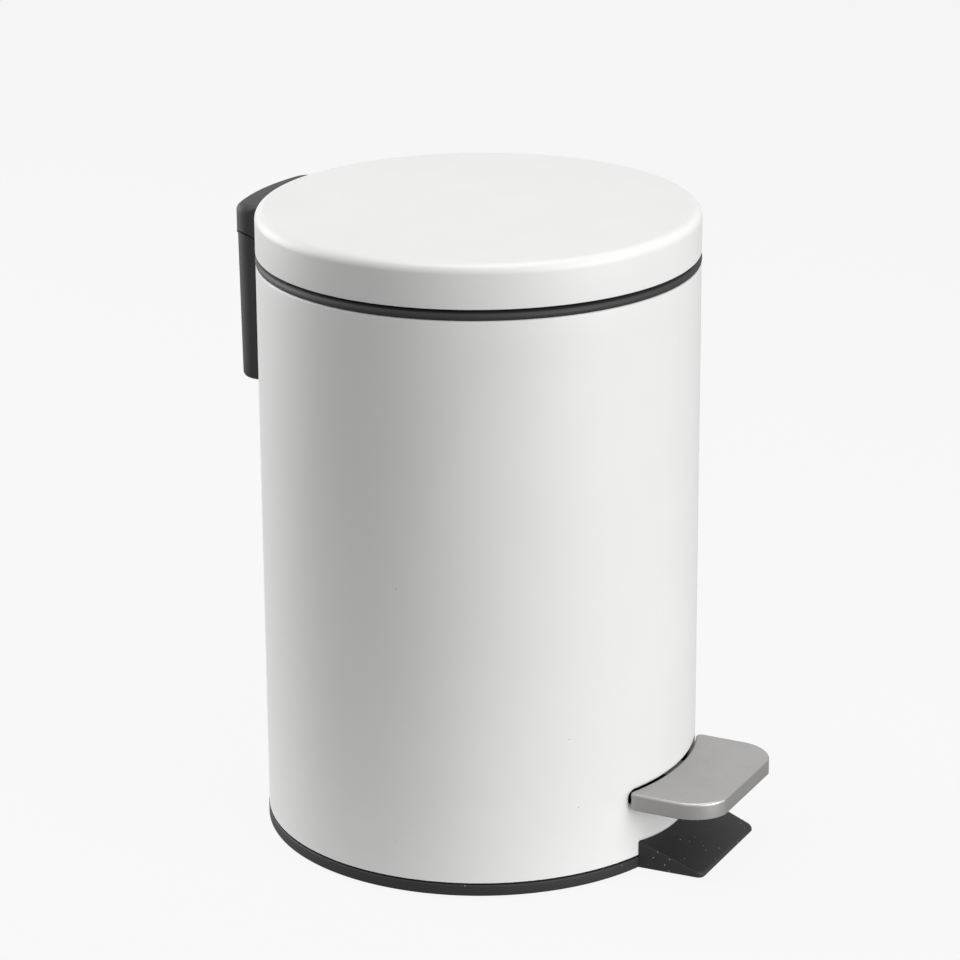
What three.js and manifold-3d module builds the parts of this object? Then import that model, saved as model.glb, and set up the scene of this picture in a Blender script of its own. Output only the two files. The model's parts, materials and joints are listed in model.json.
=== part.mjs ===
// Pedal trash can: a round steel body with a hinged lid, a foot pedal that lifts the lid through
// a lever and a rod, a soft-close damper at the hinge, and a loose inner bucket with a bail.
// Millimetres, +Z up, -Y is the front (pedal), +Y the rear (hinge). The origin is the middle of
// the footprint, on the floor. The can's own axis stands at Y = canAxisY.
import * as THREE from 'three';
import { mergeVertices } from 'three/addons/utils/BufferGeometryUtils.js';
import Module from 'manifold-3d';

const wasm = await Module();
wasm.setup();

// ---- Driving dimensions: overall -------------------------------------------------------------
const overallHeight = 249;
const canRadius = 85;
const sheet = 0.7; // steel of the body
const gap = 0.3; // between faces that meet
const lidOpenDegrees = 78;

// ---- Lid and top ring, measured down from the lid's top --------------------------------------
const lid = { height: 16.8, wall: 0.8, corner: 4, overhang: 0.05 };
const liner = { radiusInset: 5, skin: 1.3, rim: 3.7, rimWidth: 2 };
const ring = {
  lidGap: 0.8, bead: 3.1, beadProud: 0.3, beadSoft: 0.8, ledgeDrop: 2.4, ledgeThick: 2.2,
  wall: 4, ledgeWidth: 4.6, skirt: 8.4, skirtWall: 1.8,
};
const shellCurl = { depth: 0.9, height: 1.5 }; // the body's top edge rolls inwards by this much
const bumper = { count: 3, radius: 1.4, height: 2.2, inset: 1.7, standBelowLid: 0.3 };

// ---- Base, feet and floor deck, measured up from the floor ------------------------------------
const base = {
  clearance: 0.5, rimTop: 5.6, rimProud: 0.25, rimSoft: 0.35, rimWidth: 4.8, floorBottom: 2,
  floorThick: 2, upstandTop: 16, upstandWall: 2.2,
};
const foot = { count: 4, radius: 5, rimInset: 13 };
const toeGuard = {
  reach: 22.3, rearHalfWidth: 26.7, frontHalfWidth: 25.5, rearTop: 12, frontTop: 3, corner: 3,
  wall: 1.8,
};
const deck = { bottom: 34.5, thick: 2, rimGap: 1.5 };
const post = { radius: 4, rimInset: 18, startDegrees: 42, pilotDepth: 14 };

// ---- Pedal, its plate and its lever ------------------------------------------------------------
const pedal = {
  top: 34, skirt: 5.5, halfWidth: 33, projection: 29.7, frontCorner: 14, rearCorner: 4.5,
  standoff: 1, sheet: 1, studRadius: 1.6, studSpacing: 11, studInset: 12.5,
};
const lever = {
  thick: 2.5, halfWidth: 7.5, hubRadius: 5, armHalfWidth: 1.6, bendSetback: 19, slotWall: 1.3,
  frontInset: 7.7,
};
const axle = { radius: 2.5, height: 17.5, setback: 57, headRadius: 4.4, headThick: 1.6 };
const ear = { thick: 3, halfLength: 8, wall: 4.2 };
const pushNut = { radius: 4, thick: 1.2 };
const pedalSlot = { halfWidth: 35.5, bottom: 28, top: 36.5, legClearance: 2, legBottom: 20.3 };

// ---- Lift rod ----------------------------------------------------------------------------------
const wire = { radius: 1.4, inset: 4.5, sideways: 4.5, legReach: 4.2, slotPlay: 0.25 };
const wireClip = { radius: 2.4, thick: 0.9, fromPlate: 0.4 };
const rodGuide = { height: 8, middleZ: 188, left: 8, right: 7, depth: 5.4, rivetX: 3 };

// ---- Hinge, rear housing and damper -------------------------------------------------------------
const hinge = { standoff: 5.2, drop: 14.4, pinRadius: 1.1, barrelRadius: 2.6, barrelHalf: 12.3 };
const hingeEar = { thick: 1.4, nose: 2.2, halfHeight: 5 };
const pinEnd = { radius: 2.1, thick: 0.7 };
const lidArm = { halfWidth: 7, thick: 2.6, topBelowLid: 5.8 };
const finger = { halfWidth: 1.8, wall: 1.2 };
const bracket = { halfWidth: 17.5, thick: 1.2, bottomDrop: 17, top: 9, stripHeight: 5 };
const bracketRivet = { x: 15.3, drop: 9.5, radius: 1.1, headRadius: 1.9, headThick: 1 };
const passage = { halfWidth: 12, bottomDrop: 11.5, depth: 12 }; // the levers' way through the body
const housing = { behindHinge: 5.5, halfWidth: 28, corner: 8, capTopBelowLid: 3.5, bottomDrop: 38 };
const cover = { wall: 1.4, reveal: 0.3, floor: 1.6, standoff: 0.6 };
const cap = {
  wall: 1.7, standoff: 0.6, tongueHalfWidth: 8, tongueWrapDegrees: 65,
  bottomShare: 0.75, // of the split's radius, below which the arcs have cut the whole cap away
};
const split = { gap: 0.4, sideFromX: 24 }; // between the fixed cover and the moving cap
const damper = {
  x: 11.4, offset: 2.6, cylinderRadius: 2.7, cylinderHeight: 14, bore: 1.3, rodRadius: 0.9,
  pinRadius: 0.6, headRadius: 1.1, hornFromX: 8.6, hornThick: 1.6, hornWall: 1, socket: 4,
};

// ---- Fasteners ----------------------------------------------------------------------------------
const screw = { radius: 1.2, headRadius: 2.5, headThick: 1.5 };
const coverScrew = { degrees: 13.5, drop: 25, bossRadius: 3, grip: 7.5 };
const lidScrew = { degrees: 4.2, aboveLidEdge: 7.3 };
const deckScrew = { headThick: 1.2 };

// ---- Bucket and bail ----------------------------------------------------------------------------
const bucket = {
  wall: 1.5, floor: 1.8, bottomLift: 3, draft: 3.5, topInset: 12, rim: 1.3, rimInset: 0.6,
  corner: 3,
};
const bail = { radius: 1.2, circleInset: 3.8, earThick: 1.2, earHalf: 4, earHeight: 4 };

// ---- Facets -------------------------------------------------------------------------------------
const aroundCan = 60;
const aroundArc = 40;
const aroundShaft = 12;
const aroundWire = 8;
const alongArc = 8;
const arcSteps = 3;

// ---- Heights and places worked out from the sizes above -----------------------------------------
const lidBottom = overallHeight - lid.height;
const ringTop = lidBottom - ring.lidGap;
const beadBottom = ringTop - ring.bead;
const shellTop = beadBottom - gap;
const shellBottom = base.rimTop + gap;
const shellInner = canRadius - sheet;
const ledgeTop = ringTop - ring.ledgeDrop;
const ringWallInner = canRadius - ring.wall;
const ringHalfWidth = canRadius + ring.beadProud;
const hingeY = canRadius + hinge.standoff;
const hingeZ = ringTop - hinge.drop;
const rodY = canRadius - wire.inset;
const rodToHinge = hingeY - rodY;
const halfOpen = THREE.MathUtils.degToRad(lidOpenDegrees / 2);
const rodLift = 2 * rodToHinge * Math.tan(halfOpen);
const rodTopZ = hingeZ - rodLift / 2;
const rodBottomZ = axle.height - rodLift / 2;
const axleY = axle.setback - canRadius;
const leverReach = rodY - axleY;
const leverTilt = Math.atan(rodLift / 2 / leverReach);
const damperY = hingeY - damper.offset;
const damperPinZ = hingeZ - damper.offset * Math.tan(halfOpen);
const frontReach = canRadius + pedal.projection;
const rearReach = hingeY + housing.behindHinge;
const canAxisY = (frontReach - rearReach) / 2;
const pedalUnderside = pedal.top - pedal.sheet;
const pedalBottom = pedal.top - pedal.skirt;
const strapTop = pedalUnderside - gap;
const strapMiddle = strapTop - lever.thick / 2;
const capTop = overallHeight - housing.capTopBelowLid;
const armFront = canRadius + cap.standoff + cap.wall + gap;
const deckTop = deck.bottom + deck.thick;
const bucketRimBottom = ledgeTop + gap;
const bucketRimTop = bucketRimBottom + bucket.rim;
const bucketRimRadius = ringWallInner - bucket.rimInset;
const bailRadius = bucketRimRadius - bail.circleInset;
const bailZ = bucketRimTop + gap + bail.radius + gap;
const holeOver = (radius) => radius + gap;

// The cover and the cap meet on arcs round the hinge, just inside the path of the lid's edge.
const rimDistance = (x) => Math.hypot(
  hingeY - Math.sqrt((canRadius + lid.overhang) ** 2 - x ** 2), lidBottom - hingeZ);
const coverSideRadius = rimDistance(split.sideFromX) - gap;
const coverRearRadius = rimDistance(0) - gap;
const capSideRadius = coverSideRadius + split.gap;
const capRearRadius = coverRearRadius + split.gap;

// ---- Finishes -----------------------------------------------------------------------------------
const finish = (color, roughness, metalness) => ({ color, roughness, metalness });
const whiteCoat = finish(0xf1f1ef, 0.45, 0);
const blackPlastic = finish(0x2a2b2d, 0.6, 0);
const brushedSteel = finish(0xa9a9a6, 0.35, 1);
const platedSteel = finish(0xb9bcc0, 0.4, 1);
const blackRubber = finish(0x1b1b1c, 0.9, 0);
const bucketPlastic = finish(0x232425, 0.55, 0);
const paleNylon = finish(0xd8d8d2, 0.5, 0);

// ---- From three.js geometry to solids and back ---------------------------------------------------

// Signed volume of an indexed triangle mesh: positive when its faces point outwards.
function signedVolume(position, index) {
  const [a, b, c] = [new THREE.Vector3(), new THREE.Vector3(), new THREE.Vector3()];
  let six = 0;
  for (let i = 0; i < index.length; i += 3) {
    a.fromBufferAttribute(position, index[i]);
    b.fromBufferAttribute(position, index[i + 1]);
    c.fromBufferAttribute(position, index[i + 2]);
    six += a.dot(b.cross(c));
  }
  return six / 6;
}

// One closed solid from a closed geometry: corners merged, slivers dropped, faces outwards.
function solid(geometry) {
  const bare = geometry.clone();
  bare.deleteAttribute('normal');
  bare.deleteAttribute('uv');
  const merged = mergeVertices(bare);
  const faces = [];
  const source = merged.index.array;
  for (let i = 0; i < source.length; i += 3) {
    const [a, b, c] = [source[i], source[i + 1], source[i + 2]];
    if (a !== b && b !== c && c !== a) faces.push(a, b, c);
  }
  if (signedVolume(merged.attributes.position, faces) < 0) faces.reverse();
  return new wasm.Manifold(new wasm.Mesh({
    numProp: 3,
    vertProperties: new Float32Array(merged.attributes.position.array),
    triVerts: new Uint32Array(faces),
  }));
}

const join = (first, ...others) => others.reduce((whole, piece) => whole.add(piece), first);
const cut = (first, ...tools) => tools.reduce((whole, tool) => whole.subtract(tool), first);

// A named mesh of one solid with its own material.
function part(name, body, look) {
  const { vertProperties, triVerts } = body.getMesh();
  const geometry = new THREE.BufferGeometry();
  geometry.setAttribute('position', new THREE.BufferAttribute(vertProperties, 3));
  geometry.setIndex(new THREE.BufferAttribute(triVerts, 1));
  geometry.computeVertexNormals();
  const mesh = new THREE.Mesh(geometry, new THREE.MeshStandardMaterial(look));
  mesh.name = name;
  return mesh;
}

// ---- Basic shapes --------------------------------------------------------------------------------

// A box between two corners.
function block([x0, y0, z0], [x1, y1, z1]) {
  const geometry = new THREE.BoxGeometry(x1 - x0, y1 - y0, z1 - z0);
  return solid(geometry.translate((x0 + x1) / 2, (y0 + y1) / 2, (z0 + z1) / 2));
}

// A round bar along Z.
function upright(radius, z0, z1, x = 0, y = 0, facets = aroundShaft) {
  const geometry = new THREE.CylinderGeometry(radius, radius, z1 - z0, facets);
  return solid(geometry.rotateX(Math.PI / 2).translate(x, y, (z0 + z1) / 2));
}

// A round bar along X.
function across(radius, x0, x1, y, z, facets = aroundShaft) {
  const geometry = new THREE.CylinderGeometry(radius, radius, x1 - x0, facets);
  return solid(geometry.rotateZ(Math.PI / 2).translate((x0 + x1) / 2, y, z));
}

// A round bar that points away from the can's axis, from radius r0 to r1, turned from the rear
// by an angle in degrees.
function radial(radius, r0, r1, degrees, z) {
  const geometry = new THREE.CylinderGeometry(radius, radius, r1 - r0, aroundShaft);
  geometry.translate(0, (r0 + r1) / 2, z);
  return solid(geometry.rotateZ(THREE.MathUtils.degToRad(-degrees)));
}

// A body of revolution about the can's axis from a closed outline of [radius, z] points.
function turned(outline) {
  const points = [...outline, outline[0]].map(([r, z]) => new THREE.Vector2(r, z));
  return solid(new THREE.LatheGeometry(points, aroundCan).rotateX(Math.PI / 2));
}

// A plan outline raised from z0 to z1.
function raised(shape, z0, z1) {
  const options = { depth: z1 - z0, bevelEnabled: false, curveSegments: alongArc };
  return solid(new THREE.ExtrudeGeometry(shape, options).translate(0, 0, z0));
}

// A side outline in (y, z) given the width from x0 to x1.
function widened(shape, x0, x1) {
  const options = { depth: x1 - x0, bevelEnabled: false, curveSegments: alongArc };
  const toSide = new THREE.Matrix4().makeBasis(
    new THREE.Vector3(0, 1, 0), new THREE.Vector3(0, 0, 1), new THREE.Vector3(1, 0, 0));
  return solid(new THREE.ExtrudeGeometry(shape, options).applyMatrix4(toSide).translate(x0, 0, 0));
}

// A straight flat bar with round ends, drawn from one (y, z) point to another.
function bar([y0, z0], [y1, z1], height, x0, x1) {
  const turn = Math.atan2(z1 - z0, y1 - y0);
  const shape = new THREE.Shape();
  shape.absarc(y0, z0, height / 2, turn + Math.PI / 2, turn + 1.5 * Math.PI, false);
  shape.absarc(y1, z1, height / 2, turn - Math.PI / 2, turn + Math.PI / 2, false);
  shape.closePath();
  return widened(shape, x0, x1);
}

// Points on a quarter round in the (radius, z) plane, both ends included.
function quarter(centreR, centreZ, radius, fromDegrees, toDegrees) {
  return Array.from({ length: arcSteps + 1 }, (_, i) => {
    const share = i / arcSteps;
    const angle = THREE.MathUtils.degToRad(fromDegrees + (toDegrees - fromDegrees) * share);
    return [centreR + radius * Math.cos(angle), centreZ + radius * Math.sin(angle)];
  });
}

// ---- Body ----------------------------------------------------------------------------------------

// The levers' way through the rear of the body, as a cutting block up to a height.
function passageBlock(top) {
  return block([-passage.halfWidth, canRadius - passage.depth, hingeZ - passage.bottomDrop],
    [passage.halfWidth, hingeY, top]);
}

function bodyShell() {
  const curled = canRadius - shellCurl.depth;
  const wall = turned([
    [canRadius, shellBottom],
    [canRadius, shellTop - shellCurl.height],
    [curled, shellTop],
    [curled - sheet, shellTop],
    [shellInner, shellTop - shellCurl.height],
    [shellInner, shellBottom],
  ]);
  const slotFront = -canRadius - gap;
  const slotRear = -canRadius / 2;
  const legHalf = lever.halfWidth + pedalSlot.legClearance;
  const slotBar = block([-pedalSlot.halfWidth, slotFront, pedalSlot.bottom],
    [pedalSlot.halfWidth, slotRear, pedalSlot.top]);
  const slotLeg = block([-legHalf, slotFront, pedalSlot.legBottom],
    [legHalf, slotRear, pedalSlot.top]);
  const screwHoles = [-1, 1].map((side) => radial(holeOver(screw.radius), shellInner - gap,
    canRadius + gap, side * coverScrew.degrees, hingeZ - coverScrew.drop));
  return cut(wall, slotBar, slotLeg, passageBlock(overallHeight), ...screwHoles,
    ...bracketRivetHoles(), guideRivetHole());
}

function topRing() {
  const skirtOuter = canRadius - shellCurl.depth - sheet - gap;
  const soft = ring.beadSoft;
  const outline = [
    [skirtOuter, beadBottom - ring.skirt],
    [skirtOuter, beadBottom],
    [ringHalfWidth - soft / 2, beadBottom],
    [ringHalfWidth, beadBottom + soft],
    [ringHalfWidth, ringTop - soft],
    [ringHalfWidth - soft, ringTop],
    [ringWallInner, ringTop],
    [ringWallInner, ledgeTop],
    [ringWallInner - ring.ledgeWidth, ledgeTop],
    [ringWallInner - ring.ledgeWidth, ledgeTop - ring.ledgeThick],
    [skirtOuter - ring.skirtWall, ledgeTop - ring.ledgeThick],
    [skirtOuter - ring.skirtWall, beadBottom - ring.skirt],
  ];
  const recesses = bumperPlaces().map(([x, y]) => upright(holeOver(bumper.radius),
    bumperBottom - gap, overallHeight, x, y));
  return cut(turned(outline), passageBlock(ledgeTop + gap), ...recesses);
}

const bumperBottom = lidBottom - bumper.standBelowLid - bumper.height;

// Bumpers stand in the ring under the lid's edge, away from the hinge.
function bumperPlaces() {
  const radius = canRadius - bumper.inset - bumper.radius / 2;
  return Array.from({ length: bumper.count }, (_, i) => {
    const angle = -Math.PI / 2 + (i * 2 * Math.PI) / bumper.count;
    return [radius * Math.cos(angle), radius * Math.sin(angle)];
  });
}

// ---- Base ----------------------------------------------------------------------------------------

function baseDish() {
  const outer = canRadius + base.rimProud;
  const soft = base.rimSoft;
  const floorTop = base.floorBottom + base.floorThick;
  const upstandOuter = shellInner - gap;
  const upstandInner = upstandOuter - base.upstandWall;
  return turned([
    [0, base.floorBottom],
    [outer - base.rimWidth, base.floorBottom],
    [outer - base.rimWidth, base.clearance],
    [outer - soft, base.clearance],
    [outer, base.clearance + soft],
    [outer, base.rimTop - soft],
    [outer - soft, base.rimTop],
    [upstandOuter, base.rimTop],
    [upstandOuter, base.upstandTop],
    [upstandInner, base.upstandTop],
    [upstandInner, floorTop],
    [0, floorTop],
  ]);
}

// Plan of the toe guard, drawn inwards by an inset; it starts inside the base's rim.
function toeGuardPlan(inset) {
  const rear = toeGuard.rearHalfWidth - inset;
  const front = toeGuard.frontHalfWidth - inset;
  const corner = toeGuard.corner - inset / 2;
  const reach = canRadius + toeGuard.reach - inset;
  const shape = new THREE.Shape();
  shape.moveTo(-rear, -canRadius + base.rimWidth);
  shape.lineTo(-front, -reach + corner);
  shape.absarc(-front + corner, -reach + corner, corner, Math.PI, 1.5 * Math.PI, false);
  shape.absarc(front - corner, -reach + corner, corner, 1.5 * Math.PI, 2 * Math.PI, false);
  shape.lineTo(rear, -canRadius + base.rimWidth);
  shape.closePath();
  return shape;
}

// The wedge between the floor and the toe guard's sloping top, lowered by a wall.
function toeGuardWedge(wall) {
  const front = -canRadius - toeGuard.reach;
  const slope = (toeGuard.rearTop - toeGuard.frontTop) / toeGuard.reach;
  const rise = (y) => toeGuard.frontTop + (y - front) * slope - wall;
  const rear = -canRadius + base.rimWidth;
  const shape = new THREE.Shape();
  shape.moveTo(front, base.clearance - wall);
  shape.lineTo(rear, base.clearance - wall);
  shape.lineTo(rear, rise(rear));
  shape.lineTo(front, rise(front));
  shape.closePath();
  return widened(shape, -toeGuard.rearHalfWidth, toeGuard.rearHalfWidth);
}

function toeGuardSolid() {
  const above = base.upstandTop; // clear of the wedge's top
  const whole = raised(toeGuardPlan(0), base.clearance, above).intersect(toeGuardWedge(0));
  const hollow = raised(toeGuardPlan(toeGuard.wall), -base.clearance, above)
    .intersect(toeGuardWedge(toeGuard.wall));
  const rim = upright(canRadius + base.rimProud, 0, base.rimTop, 0, 0, aroundCan);
  const canSpace = upright(canRadius + gap, base.rimTop, above, 0, 0, aroundCan);
  return cut(whole, cut(hollow, rim), canSpace);
}

// Two ears that hold the pedal's axle, one each side of the lever's hub.
function axleEars() {
  const inside = lever.halfWidth + gap;
  const radius = holeOver(axle.radius) + ear.wall - gap;
  return [-1, 1].map((side) => {
    const x = side * (inside + ear.thick / 2);
    const [x0, x1] = [x - ear.thick / 2, x + ear.thick / 2];
    const nose = across(radius, x0, x1, axleY, axle.height);
    const stem = block([x0, axleY - radius, base.floorBottom], [x1, axleY + radius, axle.height]);
    return join(nose, stem);
  });
}

// Posts stand symmetrically left and right, clear of the lever in the middle.
function postPlaces() {
  const circle = canRadius - post.rimInset;
  const turn = THREE.MathUtils.degToRad(post.startDegrees);
  const [x, y] = [circle * Math.cos(turn), circle * Math.sin(turn)];
  return [-1, 1].flatMap((sx) => [-1, 1].map((sy) => [sx * x, sy * y]));
}

function baseMoulding() {
  const top = deck.bottom - gap;
  const posts = postPlaces().map(([x, y]) => upright(post.radius, base.floorBottom, top, x, y));
  const pilots = postPlaces().map(([x, y]) => upright(holeOver(screw.radius),
    top - post.pilotDepth, top + gap, x, y));
  const earHole = across(holeOver(axle.radius), -canRadius / 2, canRadius / 2, axleY, axle.height);
  const floorTop = base.floorBottom + base.floorThick;
  const rodSpace = block([-passage.halfWidth, rodY - lever.hubRadius, floorTop],
    [passage.halfWidth, shellInner, base.upstandTop + gap]);
  const whole = join(baseDish(), toeGuardSolid(), ...axleEars(), ...posts);
  return cut(whole, earHole, rodSpace, ...pilots);
}

function floorDeck() {
  const radius = shellInner - deck.rimGap;
  const disc = upright(radius, deck.bottom, deckTop, 0, 0, aroundCan);
  const rodSpace = block([-passage.halfWidth, rodY - lever.hubRadius, 0],
    [passage.halfWidth, canRadius, 2 * deckTop]);
  const holes = postPlaces().map(([x, y]) => upright(holeOver(screw.radius), 0, 2 * deckTop,
    x, y));
  return cut(disc, rodSpace, ...holes);
}

// ---- Fasteners -----------------------------------------------------------------------------------

// A screw with its head's underside at z = 0 and its shank pointing down.
function screwSolid(length, headThick = screw.headThick) {
  return join(upright(screw.headRadius, 0, headThick), upright(screw.radius, -length, gap));
}

// A screw placed radially: its head inside the can at the given radius, its shank outwards.
function radialScrew(name, headRadius, length, degrees, z) {
  const mesh = part(name, screwSolid(length), platedSteel);
  const holder = new THREE.Group();
  mesh.rotation.x = Math.PI / 2;
  mesh.position.set(0, headRadius, z);
  holder.rotation.z = THREE.MathUtils.degToRad(-degrees);
  holder.add(mesh);
  return holder;
}

// A closed rivet through a wall stack from radius r0 to r1, with a head on either side.
function rivetSolid(r0, r1, degrees, z) {
  const { radius, headRadius, headThick } = bracketRivet;
  return join(
    radial(radius, r0 - gap - headThick / 2, r1 + gap + headThick / 2, degrees, z),
    radial(headRadius, r0 - gap - headThick, r0 - gap, degrees, z),
    radial(headRadius, r1 + gap, r1 + gap + headThick, degrees, z),
  );
}

const angleAt = (x, radius) => THREE.MathUtils.radToDeg(Math.asin(x / radius));
const bracketRivetAngle = angleAt(bracketRivet.x, canRadius);
const bracketRivetZ = hingeZ - bracketRivet.drop;
const bracketOuter = canRadius + gap + bracket.thick;
const guideRivetAngle = angleAt(rodGuide.rivetX, canRadius);

function bracketRivetHoles() {
  return [-1, 1].map((side) => radial(holeOver(bracketRivet.radius), shellInner - gap,
    bracketOuter + gap, side * bracketRivetAngle, bracketRivetZ));
}

function guideRivetHole() {
  return radial(holeOver(bracketRivet.radius), canRadius - 2 * rodGuide.depth,
    canRadius + gap, guideRivetAngle, rodGuide.middleZ);
}

// ---- Rear housing --------------------------------------------------------------------------------

// Plan of the housing: an inner arc round the can, straight sides and an outer arc with round
// corners.
function housingPlan(halfWidth, outer, corner, inner) {
  const cornerX = halfWidth - corner;
  const cornerY = Math.sqrt((outer - corner) ** 2 - cornerX ** 2);
  const innerTurn = Math.acos(halfWidth / inner);
  const outerTurn = Math.atan2(cornerY, cornerX);
  const shape = new THREE.Shape();
  shape.absarc(0, 0, inner, Math.PI - innerTurn, innerTurn, true);
  shape.absarc(cornerX, cornerY, corner, 0, outerTurn, false);
  shape.absarc(0, 0, outer, outerTurn, Math.PI - outerTurn, false);
  shape.absarc(-cornerX, cornerY, corner, Math.PI - outerTurn, Math.PI, false);
  shape.closePath();
  return shape;
}

// Everything above the hinge that lies further from the hinge's axis than a radius.
function beyondSplit(radius, x0, x1) {
  const reach = 2 * coverSideRadius;
  const above = block([x0, hingeY - reach, hingeZ], [x1, hingeY + reach, hingeZ + 2 * reach]);
  return cut(above, across(radius, x0 - gap, x1 + gap, hingeY, hingeZ, aroundArc));
}

function rearCover() {
  const bottom = hingeZ - housing.bottomDrop;
  const top = hingeZ + coverSideRadius;
  const halfWidth = housing.halfWidth - cover.reveal;
  const outer = rearReach - cover.reveal;
  const inner = canRadius + cover.standoff;
  const outline = raised(housingPlan(halfWidth, outer, housing.corner, inner), bottom, top);
  const hollow = raised(housingPlan(halfWidth - cover.wall, outer - cover.wall,
    housing.corner - cover.wall, shellInner), bottom + cover.floor, top + gap);
  const outside = upright(inner, bottom - gap, top + gap, 0, 0, aroundCan);
  const edges = [
    beyondSplit(coverRearRadius, -split.sideFromX, split.sideFromX),
    beyondSplit(coverSideRadius, split.sideFromX, canRadius),
    beyondSplit(coverSideRadius, -canRadius, -split.sideFromX),
  ];
  const tongueRadius = rearReach - hingeY;
  const tongueSlot = block(
    [-cap.tongueHalfWidth - gap, hingeY, hingeZ - tongueRadius - gap],
    [cap.tongueHalfWidth + gap, rearReach + gap, top + gap]);
  const screwZ = hingeZ - coverScrew.drop;
  const bosses = [-1, 1].map((side) => radial(coverScrew.bossRadius, canRadius, outer - cover.wall,
    side * coverScrew.degrees, screwZ));
  const pilots = [-1, 1].map((side) => radial(holeOver(screw.radius), canRadius,
    canRadius + coverScrew.grip, side * coverScrew.degrees, screwZ));
  const socketOuter = damper.cylinderRadius + gap + cover.wall;
  const socketTop = bottom + cover.floor + damper.socket;
  const socket = upright(socketOuter, bottom + cover.floor / 2, socketTop, damper.x, damperY);
  const socketBore = upright(damper.cylinderRadius + gap, bottom + cover.floor, socketTop + gap,
    damper.x, damperY);
  const shellOfCover = join(cut(outline, hollow), ...bosses, cut(socket, socketBore));
  return cut(shellOfCover, outside, tongueSlot, socketBore, ...edges, ...pilots);
}

// Side outline of the tongue that fills the cover's slot and wraps under the hinge barrel.
function tongueOutline() {
  const outer = rearReach - hingeY;
  const inner = outer - cap.wall;
  const wrap = -THREE.MathUtils.degToRad(cap.tongueWrapDegrees);
  const top = hingeZ + capRearRadius + gap;
  const shape = new THREE.Shape();
  shape.moveTo(hingeY + inner, top);
  shape.absarc(hingeY, hingeZ, inner, 0, wrap, true);
  shape.absarc(hingeY, hingeZ, outer, wrap, 0, false);
  shape.lineTo(hingeY + outer, top);
  shape.closePath();
  return shape;
}

const lidScrewZ = lidBottom + lidScrew.aboveLidEdge;
const lidScrewHole = (side) => radial(holeOver(screw.radius), canRadius - lid.corner,
  armFront + lidArm.thick + gap, side * lidScrew.degrees, lidScrewZ);

function hingeCap() {
  const inner = canRadius + cap.standoff;
  const bottom = hingeZ + capRearRadius * cap.bottomShare;
  const outline = raised(housingPlan(housing.halfWidth, rearReach, housing.corner, inner),
    bottom, capTop);
  const hollow = raised(housingPlan(housing.halfWidth - cap.wall, rearReach - cap.wall,
    housing.corner - cap.wall, inner + cap.wall), bottom - gap, capTop - cap.wall);
  const sideFrom = split.sideFromX - gap;
  const edges = [
    across(capRearRadius, -sideFrom, sideFrom, hingeY, hingeZ, aroundArc),
    across(capSideRadius, sideFrom, canRadius, hingeY, hingeZ, aroundArc),
    across(capSideRadius, -canRadius, -sideFrom, hingeY, hingeZ, aroundArc),
  ];
  const tongue = widened(tongueOutline(), -cap.tongueHalfWidth, cap.tongueHalfWidth)
    .intersect(upright(rearReach, 0, overallHeight, 0, 0, aroundCan));
  return cut(join(cut(outline, hollow, ...edges), tongue), lidScrewHole(-1), lidScrewHole(1));
}

// ---- Hinge ---------------------------------------------------------------------------------------

const earInside = hinge.barrelHalf + gap;
const earOutside = earInside + hingeEar.thick;

// Curved plate on the back of the body with two ears that carry the hinge pin.
function hingeBracket() {
  const inner = canRadius + gap;
  const z0 = hingeZ - bracket.bottomDrop;
  const z1 = hingeZ + bracket.top;
  const sheetPiece = cut(upright(bracketOuter, z0, z1, 0, 0, aroundCan),
    upright(inner, z0 - gap, z1 + gap, 0, 0, aroundCan))
    .intersect(block([-bracket.halfWidth, 0, z0], [bracket.halfWidth, 2 * canRadius, z1]));
  const opening = block([-passage.halfWidth - gap, 0, z0 + bracket.stripHeight],
    [passage.halfWidth + gap, 2 * canRadius, z1 + gap]);
  const insideBody = canRadius - hinge.standoff; // the ears start here before the body's space is cut
  const ears = [-1, 1].map((side) => {
    const x = side * (earInside + hingeEar.thick / 2);
    const outline = new THREE.Shape();
    outline.moveTo(insideBody, hingeZ + hingeEar.halfHeight);
    outline.lineTo(insideBody, hingeZ - hingeEar.halfHeight);
    outline.absarc(hingeY, hingeZ, hingeEar.nose, -Math.PI / 2, Math.PI / 2, false);
    outline.closePath();
    return widened(outline, x - hingeEar.thick / 2, x + hingeEar.thick / 2);
  });
  const bodySpace = upright(inner, 0, overallHeight, 0, 0, aroundCan);
  const pinHole = across(holeOver(hinge.pinRadius), -canRadius, canRadius, hingeY, hingeZ);
  const withEars = cut(join(cut(sheetPiece, opening), ...ears), bodySpace, pinHole);
  return cut(withEars, ...bracketRivetHoles());
}

function hingePin() {
  const end = earOutside + gap + pinEnd.thick + gap;
  return join(across(hinge.pinRadius, -end, end, hingeY, hingeZ),
    across(pinEnd.radius, -end, -earOutside - gap, hingeY, hingeZ));
}

function hingePinClip() {
  const x0 = earOutside + gap;
  const hole = across(holeOver(hinge.pinRadius), x0 - gap, x0 + pinEnd.thick + gap, hingeY, hingeZ);
  return cut(across(pinEnd.radius, x0, x0 + pinEnd.thick, hingeY, hingeZ), hole);
}

// How far a point at a fixed distance strays from an even rise while its arm swings half open.
function swingError(offset) {
  const evenRise = Math.tan(halfOpen) / halfOpen;
  const worst = Math.acos(Math.sqrt(1 / evenRise));
  return offset * (evenRise * worst - Math.tan(worst));
}

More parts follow.
